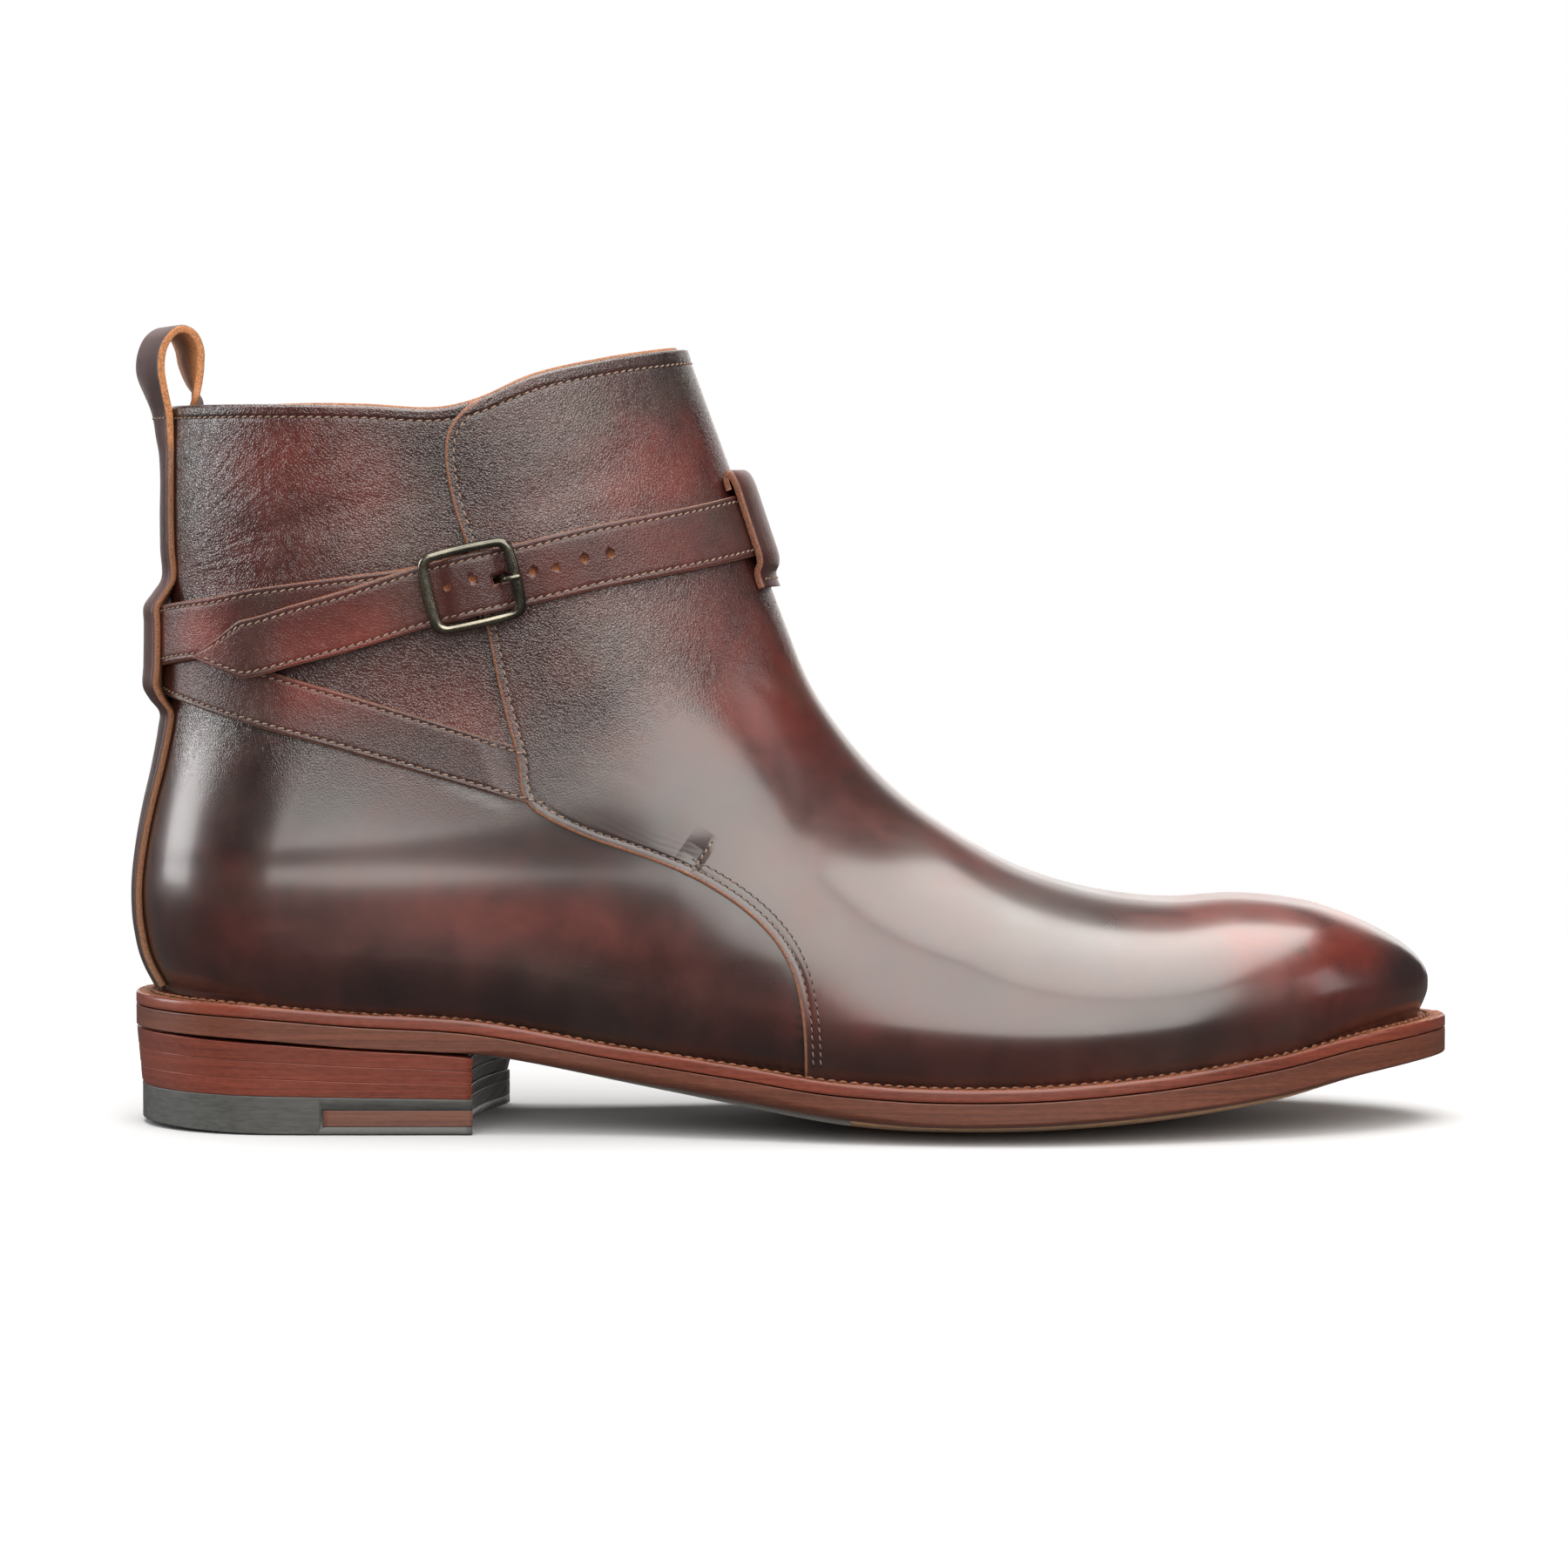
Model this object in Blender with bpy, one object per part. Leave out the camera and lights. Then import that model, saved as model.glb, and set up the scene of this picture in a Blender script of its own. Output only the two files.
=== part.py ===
# Jodhpur boot, right foot, size about EU 43. Metres, +X to the toe, -Y to the outer side of the foot, +Z up.
# The origin is on the floor, under the middle of the boot's bounding box.
import math

import bmesh
import bpy
import numpy as np

# Overall sizes.
SOLE_LENGTH = 0.308
BALL_WIDTH = 0.107
HEEL_SEAT_WIDTH = 0.067
FRONT_HEIGHT = 0.180
SHAFT_WIDTH = 0.074

# Walls, layers and clearances.
WALL = 0.0022
FLAP_STEP = 0.0012
GAP = 0.0003
WELT_THICKNESS = 0.0028
INSOLE_RISE = 0.0030
STRAP_THICKNESS = 0.0018
BACKSTAY_THICKNESS = 0.0018
WELT_SHELF_FOREFOOT = 0.0055
WELT_SHELF_HEEL = 0.0036
TUCK = 0.0030
TUCK_HEIGHT = 0.014

# Rounded ends of the plan, and the heel.
HEEL_ROUND = 0.034
TOE_ROUND = 0.030
BREAST_X = 0.0810
BREAST_SKEW = 0.0055
BREAST_HOLLOW = 0.0050
TOP_LIFT_THICKNESS = 0.0081
INSERT_X = 0.0464
INSERT_BOTTOM = 0.0018
INSERT_HEIGHT = 0.0038
HEEL_ROLL = 0.0012
HEEL_ROLL_LENGTH = 0.045
HEEL_INSET = 0.0006
HEEL_TAPER = 0.0003
TOP_LIFT_INSET = 0.0014
TOP_LIFT_WEDGE = 0.0012

# Fittings.
STRAP_WIDTH = 0.0138
BACKSTAY_WIDTH = 0.0210
KEEPER_WIDTH = 0.0230
LOOP_TWIST = math.radians(21.0)
BUCKLE_WINDOW_LENGTH = 0.0172
BUCKLE_WINDOW_HEIGHT = 0.0150
BUCKLE_END_BAR = 0.0024
BUCKLE_RAIL = 0.0019
BUCKLE_DEPTH = 0.0020
BUCKLE_INNER_CORNER = 0.0016
BUCKLE_OUTER_CORNER = 0.0030
CENTRE_BAR = 0.0017
BUCKLE_LIFT = 0.0050
PRONG_DIAMETER = 0.0014

# The plan of the sole: share of SOLE_LENGTH, then centre line, outer half-width and inner half-width as shares of
# BALL_WIDTH. The rounded ends come from HEEL_ROUND and TOE_ROUND.
PLAN = [
    (0.000, 0.000, 0.300, 0.300),
    (0.080, 0.000, 0.308, 0.308),
    (0.160, 0.000, 0.313, 0.313),
    (0.260, 0.000, 0.313, 0.308),
    (0.357, 0.000, 0.330, 0.290),
    (0.455, 0.002, 0.400, 0.318),
    (0.552, 0.008, 0.480, 0.378),
    (0.633, 0.014, 0.514, 0.442),
    (0.698, 0.020, 0.515, 0.468),
    (0.779, 0.030, 0.478, 0.440),
    (0.860, 0.038, 0.400, 0.372),
    (0.925, 0.043, 0.306, 0.294),
    (0.974, 0.046, 0.248, 0.244),
    (1.000, 0.047, 0.216, 0.216),
]

# Top of the welt: share of SOLE_LENGTH, height as a share of FRONT_HEIGHT.
WELT_TOP = [
    (0.000, 0.171),
    (0.088, 0.166),
    (0.172, 0.155),
    (0.262, 0.1455),
    (0.364, 0.116),
    (0.461, 0.093),
    (0.519, 0.079),
    (0.562, 0.0735),
    (0.604, 0.0705),
    (0.685, 0.0725),
    (0.779, 0.085),
    (0.864, 0.1045),
    (0.922, 0.1235),
    (0.979, 0.134),
    (1.000, 0.136),
]

# Outsole: share of SOLE_LENGTH, edge thickness, then how far the middle hangs below the edge, shares of FRONT_HEIGHT.
OUTSOLE = [
    (0.000, 0.0260, 0.000),
    (0.290, 0.0258, 0.000),
    (0.364, 0.0235, 0.013),
    (0.461, 0.0255, 0.021),
    (0.519, 0.0270, 0.0240),
    (0.562, 0.0285, 0.0262),
    (0.604, 0.0290, 0.0260),
    (0.685, 0.0290, 0.0272),
    (0.779, 0.0300, 0.0270),
    (0.864, 0.0320, 0.022),
    (0.922, 0.0330, 0.014),
    (1.000, 0.0330, 0.001),
]

# Side outline of the front as seen, from the feather edge at the toe, over the toe and up the instep to the collar:
# share of SOLE_LENGTH, share of FRONT_HEIGHT.
FRONT = [
    (0.9790, 0.1385),
    (0.9870, 0.1755),
    (0.9840, 0.1970),
    (0.9710, 0.2230),
    (0.9450, 0.2500),
    (0.9190, 0.2695),
    (0.8910, 0.2845),
    (0.8380, 0.2945),
    (0.7860, 0.2900),
    (0.7320, 0.3000),
    (0.6785, 0.3260),
    (0.6265, 0.3720),
    (0.5730, 0.4390),
    (0.5195, 0.5500),
    (0.4935, 0.6500),
    (0.4580, 0.8220),
    (0.4200, 1.0000),
]

# Side outline of the back as seen, with the backstay, the same shares.
BACK = [
    (0.0160, 0.1725),
    (0.0052, 0.2100),
    (0.0000, 0.2450),
    (-0.0032, 0.2950),
    (-0.0006, 0.3520),
    (0.0052, 0.4090),
    (0.0130, 0.4670),
    (0.0185, 0.5220),
    (0.0205, 0.6000),
    (0.0210, 0.6940),
    (0.0200, 0.7600),
    (0.0205, 0.8300),
    (0.0227, 0.9250),
]

# Rings of the upper: share of the way up FRONT, share of the way up BACK.
RINGS = [
    (0.000, 0.000),
    (0.028, 0.014),
    (0.067, 0.030),
    (0.110, 0.048),
    (0.170, 0.072),
    (0.233, 0.100),
    (0.294, 0.132),
    (0.358, 0.172),
    (0.423, 0.222),
    (0.492, 0.285),
    (0.570, 0.370),
    (0.669, 0.490),
    (0.744, 0.600),
    (0.869, 0.810),
    (1.000, 1.000),
]

# Collar line: share of the way from back to front, rise above the straight line as a share of FRONT_HEIGHT.
COLLAR = [
    (0.00, 0.000),
    (0.20, -0.015),
    (0.40, -0.032),
    (0.54, -0.046),
    (0.62, -0.040),
    (0.72, -0.018),
    (0.86, -0.006),
    (1.00, 0.000),
]

# Cross-section of the forefoot and instep: share of SOLE_LENGTH, share of the height that is dome, sharpness.
DOME = [
    (0.00, 0.90, 0.25),
    (0.50, 0.90, 0.25),
    (0.57, 0.88, 0.24),
    (0.65, 0.86, 0.18),
    (0.75, 0.82, 0.08),
    (0.83, 0.78, 0.02),
    (0.92, 0.74, 0.00),
    (1.00, 0.72, 0.00),
]

# Cross-section of the shaft: share of FRONT_HEIGHT, half-width as a share of SHAFT_WIDTH, length of the rounded back
# and front as shares of SHAFT_WIDTH, sharpness of the back, sharpness of the front.
SHAFT = [
    (0.10, 0.445, 0.46, 0.60, 0.00, 0.20),
    (0.30, 0.452, 0.47, 0.60, 0.02, 0.20),
    (0.45, 0.446, 0.52, 0.62, 0.12, 0.18),
    (0.60, 0.450, 0.58, 0.66, 0.24, 0.16),
    (0.75, 0.470, 0.62, 0.72, 0.20, 0.12),
    (1.00, 0.505, 0.66, 0.80, 0.12, 0.08),
]

# Rear edge of the front piece in side view, from above the collar down past the feather edge.
FLAP_EDGE = [
    (0.2950, 1.150),
    (0.2750, 0.945),
    (0.2590, 0.922),
    (0.2480, 0.900),
    (0.2440, 0.866),
    (0.2500, 0.800),
    (0.2610, 0.740),
    (0.2730, 0.650),
    (0.2850, 0.550),
    (0.2960, 0.480),
    (0.3030, 0.422),
    (0.3400, 0.385),
    (0.3900, 0.355),
    (0.4260, 0.330),
    (0.4620, 0.292),
    (0.4850, 0.255),
    (0.4990, 0.215),
    (0.5060, 0.170),
    (0.5090, 0.120),
    (0.5090, 0.020),
]

# Straps: turn is 0 at the heel, +1 at the instep by the outer side and -1 by the inner side; then the middle height
# as a share of FRONT_HEIGHT, the gap under the strap and the half-width, as shares of STRAP_WIDTH.
STRAP_LONG = [
    (0.498, 0.466, 0.022, 0.50),
    (0.437, 0.494, 0.022, 0.50),
    (0.326, 0.537, 0.022, 0.50),
    (0.148, 0.582, 0.022, 0.50),
    (0.000, 0.600, 0.022, 0.50),
    (-0.150, 0.613, 0.022, 0.50),
    (-0.300, 0.633, 0.022, 0.50),
    (-0.420, 0.655, 0.022, 0.50),
    (-0.500, 0.673, 0.110, 0.50),
    (-0.650, 0.710, 0.110, 0.50),
    (-0.800, 0.745, 0.110, 0.50),
    (-0.900, 0.762, 0.110, 0.50),
    (-1.000, 0.770, 0.110, 0.50),
    (-1.100, 0.768, 0.110, 0.50),
    (-1.330, 0.737, 0.110, 0.50),
    (-1.425, 0.715, 0.118, 0.50),
    (-1.444, 0.711, 0.150, 0.50),
    (-1.460, 0.708, 0.270, 0.50),
    (-1.478, 0.704, 0.325, 0.50),
    (-1.490, 0.701, 0.325, 0.50),
    (-1.502, 0.697, 0.310, 0.50),
    (-1.522, 0.691, 0.200, 0.50),
    (-1.545, 0.684, 0.175, 0.50),
    (-1.630, 0.654, 0.190, 0.50),
    (-1.680, 0.638, 0.240, 0.50),
    (-1.720, 0.624, 0.330, 0.49),
    (-1.765, 0.614, 0.330, 0.34),
    (-1.800, 0.609, 0.330, 0.16),
    (-1.815, 0.607, 0.330, 0.03),
]
STRAP_CHAPE = [
    (-0.498, 0.466, 0.022, 0.50),
    (-0.437, 0.494, 0.022, 0.50),
    (-0.326, 0.532, 0.030, 0.50),
    (-0.260, 0.560, 0.175, 0.50),
    (-0.148, 0.600, 0.175, 0.50),
    (0.000, 0.622, 0.175, 0.50),
    (0.100, 0.634, 0.175, 0.50),
    (0.210, 0.646, 0.175, 0.50),
    (0.260, 0.655, 0.120, 0.50),
    (0.317, 0.663, 0.030, 0.50),
    (0.400, 0.675, 0.022, 0.50),
    (0.455, 0.684, 0.022, 0.50),
    (0.511, 0.700, 0.022, 0.50),
]

# Keeper over the strap at the front: share of FRONT_HEIGHT, lift as a share of the strap that passes under it.
KEEPER = [
    (0.6890, 0.00),
    (0.7030, 0.00),
    (0.7117, 0.35),
    (0.7222, 1.00),
    (0.7500, 1.00),
    (0.7778, 1.00),
    (0.8000, 1.00),
    (0.8144, 1.00),
    (0.8278, 0.50),
    (0.8378, 0.05),
]

# Backstay up to the pull loop: share of FRONT_HEIGHT, lift as a share of the two straps that pass under it.
BACKSTAY = [
    (0.1806, 0.00),
    (0.1933, 0.00),
    (0.2078, 0.00),
    (0.2244, 0.00),
    (0.2444, 0.00),
    (0.2722, 0.00),
    (0.3111, 0.00),
    (0.3556, 0.00),
    (0.4056, 0.00),
    (0.4611, 0.00),
    (0.5111, 0.00),
    (0.5306, 0.02),
    (0.5472, 0.60),
    (0.5639, 1.00),
    (0.5917, 1.00),
    (0.6194, 1.00),
    (0.6472, 1.00),
    (0.6694, 1.00),
    (0.6872, 0.49),
    (0.7056, 0.00),
    (0.7444, 0.00),
    (0.7889, 0.00),
    (0.8333, 0.00),
]

# Pull loop, from the outer side of the back up and over to the inside: forward shift from the back of the collar as a
# share of BACKSTAY_WIDTH, height as a share of FRONT_HEIGHT, then shares of LOOP_TWIST and of the curve of the heel.
LOOP = [
    (-0.086, 0.8667, 0.15, 1.00),
    (-0.129, 0.8900, 0.37, 0.95),
    (-0.171, 0.9167, 0.60, 0.80),
    (-0.233, 0.9444, 0.85, 0.50),
    (-0.267, 0.9722, 1.00, 0.20),
    (-0.238, 0.9978, 1.00, 0.10),
    (-0.143, 1.0178, 1.00, 0.05),
    (-0.010, 1.0267, 1.00, 0.05),
    (0.114, 1.0211, 1.00, 0.05),
    (0.195, 1.0033, 1.00, 0.05),
    (0.200, 0.9800, 0.90, 0.20),
    (0.181, 0.9567, 0.60, 0.60),
    (0.171, 0.9378, 0.20, 1.00),
]

# Heights where the loop's inner end lies along the lining, as shares of FRONT_HEIGHT, from the top down.
LOOP_END = (0.9194, 0.8944, 0.8667, 0.8389)

# The prong, from the centre bar to the end bar that it rests on: distance along as a share of BUCKLE_WINDOW_LENGTH,
# height over the shaft as a share of the height of the buckle's face.
PRONG = [
    (0.067, 0.443),
    (0.186, 0.386),
    (0.291, 0.400),
    (0.360, 0.543),
    (0.413, 0.800),
    (0.459, 1.071),
]
PRONG_REST = (0.535, 0.669)
PRONG_HOLE = (0.279, 0.488)

# Sampling.
HALF_RING = 24
STRAP_STEPS = 92
CROSS_STEPS = 2


def smooth(rows, per=10):
    """A smooth curve through the rows of a table."""
    p = np.array(rows, float)
    d = np.concatenate([[0.0], np.cumsum(np.sqrt(np.linalg.norm(np.diff(p, axis=0), axis=1)))])
    m = np.gradient(p, d, axis=0)
    t = np.concatenate([np.linspace(a, b, per, endpoint=False) for a, b in zip(d[:-1], d[1:])] + [d[-1:]])
    i = np.clip(np.searchsorted(d, t, side="right") - 1, 0, len(d) - 2)
    h = (d[i + 1] - d[i])[:, None]
    s = (t - d[i])[:, None] / h
    return (
        (2 * s**3 - 3 * s**2 + 1) * p[i]
        + (s**3 - 2 * s**2 + s) * h * m[i]
        + (3 * s**2 - 2 * s**3) * p[i + 1]
        + (s**3 - s**2) * h * m[i + 1]
    )


def table(rows, x_size, *sizes):
    """The columns of a table as smooth functions of its first column, in metres."""
    c = smooth(rows)
    x = c[:, 0] * x_size
    return [lambda q, v=c[:, k + 1] * s: np.interp(q, x, v) for k, s in enumerate(sizes)]


def shifted(rows, distance):
    """A side outline moved sideways by a distance, as x, z and its share of length."""
    c = smooth(rows) * (SOLE_LENGTH, FRONT_HEIGHT)
    t = np.gradient(c, axis=0)
    t /= np.linalg.norm(t, axis=1)[:, None]
    c = c + distance * np.stack([-t[:, 1], t[:, 0]], axis=1)
    a = np.concatenate([[0.0], np.cumsum(np.linalg.norm(np.diff(c, axis=0), axis=1))])
    return c[:, 0], c[:, 1], a / a[-1]


def step(x, low, high):
    t = np.clip((x - low) / (high - low), 0.0, 1.0)
    return t * t * (3 - 2 * t)


def dome(s, sharp):
    """0 at the edge, 1 inside, round in between."""
    r = 1 - np.clip(s, 0.0, 1.0)
    return (1 - sharp) * np.sqrt(np.clip(1 - r * r, 0.0, 1.0)) + sharp * (1 - r * r)


plan_mid, plan_out, plan_in = table(PLAN, SOLE_LENGTH, BALL_WIDTH, BALL_WIDTH, BALL_WIDTH)
(welt_top,) = table(WELT_TOP, SOLE_LENGTH, FRONT_HEIGHT)
outsole_edge, outsole_belly = table(OUTSOLE, SOLE_LENGTH, FRONT_HEIGHT, FRONT_HEIGHT)
dome_share, dome_sharp = table(DOME, SOLE_LENGTH, 1.0, 1.0)
shaft_half, back_round, front_round, back_sharp, front_sharp = table(
    SHAFT, FRONT_HEIGHT, SHAFT_WIDTH, SHAFT_WIDTH, SHAFT_WIDTH, 1.0, 1.0
)
(collar_rise,) = table(COLLAR, 1.0, FRONT_HEIGHT)
front_x, front_z, front_s = shifted(FRONT, FLAP_STEP)
back_x, back_z, back_s = shifted(BACK, -(BACKSTAY_THICKNESS + GAP))
rings = smooth(RINGS)
NOSE = int(np.argmax(front_x[: len(front_x) // 3]))
TOP = slice(NOSE, None)


def ridge_z(x):
    return np.interp(x, front_x[TOP][::-1], front_z[TOP][::-1])


def ridge_x(z):
    return np.interp(z, front_z[TOP], front_x[TOP])


def under_z(x):
    """The feather edge, and the underside of the toe ahead of it."""
    low = welt_top(x) + GAP
    nose = np.interp(x, front_x[: NOSE + 1], front_z[: NOSE + 1])
    return np.where(x < front_x[0], low, nose)


def heel_x(z):
    return np.interp(z, back_z, back_x)


def shelf(x):
    return WELT_SHELF_HEEL + (WELT_SHELF_FOREFOOT - WELT_SHELF_HEEL) * step(x / SOLE_LENGTH, 0.357, 0.584)


def half_plan(x, side):
    return np.where(side < 0, plan_out(x), plan_in(x))


def side_y(x, z, side, nose=None):
    """Where the outer face of the upper is, at a place in side view. side is -1 outside, +1 inside."""
    nose = front_x[NOSE] if nose is None else nose
    low = half_plan(x, side) - shelf(x) + TUCK
    low = low * np.sqrt(np.clip(1 - np.clip(1 - (nose - x) / TOE_ROUND, 0, 1) ** 2, 0, 1))
    high = step(z / FRONT_HEIGHT, 0.222, 0.583)
    width = low * (1 - high) + shaft_half(z) * high
    rise = np.clip(1 - (z - under_z(x)) / TUCK_HEIGHT, 0, 1)
    width = width * (1 - TUCK / (low + TUCK) * rise**2)
    depth = dome_share(x) * np.maximum(ridge_z(x) - under_z(x), 1e-5)
    far = step(z / FRONT_HEIGHT, 0.333, 0.583)
    s = (1 - far) * (ridge_z(x) - z) / depth + far * (ridge_x(z) - x) / front_round(z)
    sharp = (1 - far) * dome_sharp(x) + far * front_sharp(z)
    front = dome(s, sharp)
    back = dome((x - heel_x(z)) / back_round(z), back_sharp(z))
    return plan_mid(x) + side * width * front * back


def upper_grid(half, levels):
    """Points on the outer face, one ring per level: back, outer side, front, inner side."""
    u = np.arange(half + 1) / half
    g = (1 - np.cos(math.pi * u)) / 2
    out = []
    for v in levels:
        f = np.interp(v, np.linspace(0, 1, len(rings)), rings[:, 0])
        b = np.interp(v, np.linspace(0, 1, len(rings)), rings[:, 1])
        fx, fz = np.interp(f, front_s, front_x), np.interp(f, front_s, front_z)
        bx, bz = np.interp(b, back_s, back_x), np.interp(b, back_s, back_z)
        x = bx + (fx - bx) * g
        z = bz + (fz - bz) * g
        x0 = back_x[0] + (front_x[0] - back_x[0]) * g
        sag = under_z(x0) - (back_z[0] + (front_z[0] - back_z[0]) * g)
        z = z + sag * (1 - b) ** 3 + collar_rise(g) * max(0.0, (b - 0.5) / 0.5) ** 2
        nose = fx if f < front_s[NOSE] else front_x[NOSE]
        y_out = side_y(x, z, -1.0, nose)
        y_in = side_y(x, z, 1.0, nose)
        y_out[0] = y_in[0] = plan_mid(bx)
        y_out[-1] = y_in[-1] = plan_mid(fx)
        ring = [(x[i], y_out[i], z[i]) for i in range(half + 1)]
        ring += [(x[i], y_in[i], z[i]) for i in range(half - 1, 0, -1)]
        out.append(ring)
    return np.array(out)


def grid_normals(p):
    along = np.roll(p, -1, axis=1) - np.roll(p, 1, axis=1)
    up = np.gradient(p, axis=0)
    n = np.cross(along, up)
    return n / np.linalg.norm(n, axis=2)[:, :, None]


def turn_point(turn, z):
    """A point on the shaft at a turn round it and a height."""
    t = np.mod(turn, 2.0)
    u = np.where(t <= 1, t, 2 - t)
    side = np.where(t <= 1, -1.0, 1.0)
    g = (1 - np.cos(math.pi * u)) / 2
    x = heel_x(z) + (ridge_x(z) - heel_x(z)) * g
    return np.stack([x, side_y(x, z, side), z], axis=-1)


def turn_normal(turn, z):
    e = 0.012
    h = FRONT_HEIGHT / 150
    a = turn_point(turn + e, z) - turn_point(turn - e, z)
    b = turn_point(turn, z + h) - turn_point(turn, z - h)
    n = np.cross(a, b)
    return n / np.linalg.norm(n, axis=-1)[..., None]


def mesh_object(name, points, faces, round_shade=True):
    mesh = bpy.data.meshes.new(name)
    mesh.from_pydata([tuple(map(float, p)) for p in points], [], faces)
    bm = bmesh.new()
    bm.from_mesh(mesh)
    bmesh.ops.remove_doubles(bm, verts=bm.verts, dist=1e-6)
    bmesh.ops.recalc_face_normals(bm, faces=bm.faces)
    bm.to_mesh(mesh)
    bm.free()
    for poly in mesh.polygons:
        poly.use_smooth = round_shade
    ob = bpy.data.objects.new(name, mesh)
    return ob


def loft(name, sections, loop=False):
    """Closed rings of points joined into one body, with capped ends or closed on itself."""
    p = np.array(sections, float)
    n, k = p.shape[:2]
    faces = []
    for i in range(n if loop else n - 1):
        j = (i + 1) % n
        for a in range(k):
            b = (a + 1) % k
            faces.append((i * k + a, i * k + b, j * k + b, j * k + a))
    if not loop:
        for base, turn in ((0, 1), ((n - 1) * k, -1)):
            for a in range(k // 2 - 1):
                quad = (base + a, base + a + 1, base + k - 2 - a, base + k - 1 - a)
                faces.append(quad[::turn])
    return mesh_object(name, p.reshape(-1, 3), faces)


def strip(name, turn, z, gap, half, thickness, across=CROSS_STEPS):
    """A band that follows the shaft. turn, z, gap and half are arrays along it."""
    sections = []
    for a, zc, g, h in zip(turn, z, gap, half):
        zz = zc + np.linspace(-1, 1, across + 1) * h
        p = turn_point(np.full_like(zz, a), zz)
        n = turn_normal(np.full_like(zz, a), zz)
        sections.append(list(p + n * g) + list((p + n * (g + thickness))[::-1]))
    return loft(name, sections)


def strap(name, rows, steps):
    c = smooth(rows, 12)
    # Sections crowd where the rows do, and elsewhere go by the turn.
    spread = np.cumsum(np.concatenate([[0.0], np.abs(np.diff(c[:, 0])) + 0.0035]))
    t = np.interp(np.linspace(0, spread[-1], steps), spread, np.arange(len(c)))
    a, z, g, h = (np.interp(t, np.arange(len(c)), c[:, k]) for k in range(4))
    return strip(name, a, z * FRONT_HEIGHT, np.maximum(g, 0.02) * STRAP_WIDTH, h * STRAP_WIDTH, STRAP_THICKNESS)


def shell(name, p, n, inner, outer):
    """A hollow wall between two offsets of the upper's outer face."""
    a = p + n * outer
    b = p + n * inner
    for k in (0, -1):
        b[k, :, 2] = a[k, :, 2] = p[k, :, 2]
    m, w = p.shape[:2]
    points = np.concatenate([a.reshape(-1, 3), b.reshape(-1, 3)])
    off = m * w
    faces = []
    for i in range(m - 1):
        for c in range(w):
            d = (c + 1) % w
            faces.append((i * w + c, i * w + d, (i + 1) * w + d, (i + 1) * w + c))
            faces.append((off + i * w + d, off + i * w + c, off + (i + 1) * w + c, off + (i + 1) * w + d))
    for c in range(w):
        d = (c + 1) % w
        e = (m - 1) * w
        faces.append((c, off + c, off + d, d))
        faces.append((e + d, off + e + d, off + e + c, e + c))
    return mesh_object(name, points, faces)


def prism(name, outline, y0, y1):
    """A side outline pushed across the boot."""
    n = len(outline)
    points = [(x, y0, z) for x, z in outline] + [(x, y1, z) for x, z in outline]
    faces = [tuple(range(n)), tuple(range(2 * n - 1, n - 1, -1))]
    faces += [(i, (i + 1) % n, n + (i + 1) % n, n + i) for i in range(n)]
    return mesh_object(name, points, faces, False)


def combine(target, tool, how):
    """A boolean applied at once; the tool is removed."""
    scene = bpy.context.scene.collection
    scene.objects.link(target)
    scene.objects.link(tool)
    mod = target.modifiers.new(how, "BOOLEAN")
    mod.operation = how
    mod.solver = "EXACT"
    mod.object = tool
    bpy.context.view_layer.update()
    graph = bpy.context.evaluated_depsgraph_get()
    mesh = bpy.data.meshes.new_from_object(target.evaluated_get(graph))
    target.modifiers.remove(mod)
    old = target.data
    target.data = mesh
    mesh.name = target.name
    bpy.data.meshes.remove(old)
    scene.objects.unlink(target)
    bpy.data.objects.remove(tool)
    return target


def plan_half(x, side, inset, start, end):
    """Half-width of a sole layer, with both ends rounded."""
    w = half_plan(x, side) - inset
    w = w * np.sqrt(np.clip(1 - np.clip(1 - (x - start) / HEEL_ROUND, 0, 1) ** 2, 0, 1))
    return w * np.sqrt(np.clip(1 - np.clip(1 - (end - x) / TOE_ROUND, 0, 1) ** 2, 0, 1))


def layer(name, start, end, inset, top, bottom, stations=34, across=3):
    """A plate with the plan of the sole. top and bottom give heights from x and the share out to the edge."""
    u = np.arange(stations + 1) / stations
    x = start + (end - start) * (1 - np.cos(math.pi * u)) / 2
    middle = (start + end) / 2
    points, index = [], {}

    def vertex(i, j, side, level, z_of):
        key = (i, j if i in (0, stations) else j, side if j and i not in (0, stations) else 0, level)
        if key not in index:
            f = j / across
            w = float(plan_half(x[i], side, inset(x[i]), start, end)) if i not in (0, stations) else 0.0
            t = (x[i] - middle) / (end - middle)
            xx = x[i] - t**5 / abs(t or 1.0) * (1 - f) * HEEL_SEAT_WIDTH * 0.4
            yy = float(plan_mid(x[i])) + side * w * f
            points.append((xx, yy, float(z_of(xx, f))))
            index[key] = len(points) - 1
        return index[key]

    faces = []
    for side in (-1, 1):
        for i in range(stations):
            for level, z_of in ((0, bottom), (1, top)):
                for j in range(across):
                    quad = [vertex(i, j, side, level, z_of), vertex(i + 1, j, side, level, z_of),
                            vertex(i + 1, j + 1, side, level, z_of), vertex(i, j + 1, side, level, z_of)]
                    quad = [q for k, q in enumerate(quad) if q not in quad[:k]]
                    faces.append(tuple(quad if (side > 0) == (level > 0) else quad[::-1]))
            a = [vertex(k, across, side, m, z) for k, m, z in
                 ((i, 0, bottom), (i + 1, 0, bottom), (i + 1, 1, top), (i, 1, top))]
            faces.append(tuple(a if side < 0 else a[::-1]))
    return mesh_object(name, points, faces)


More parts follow.
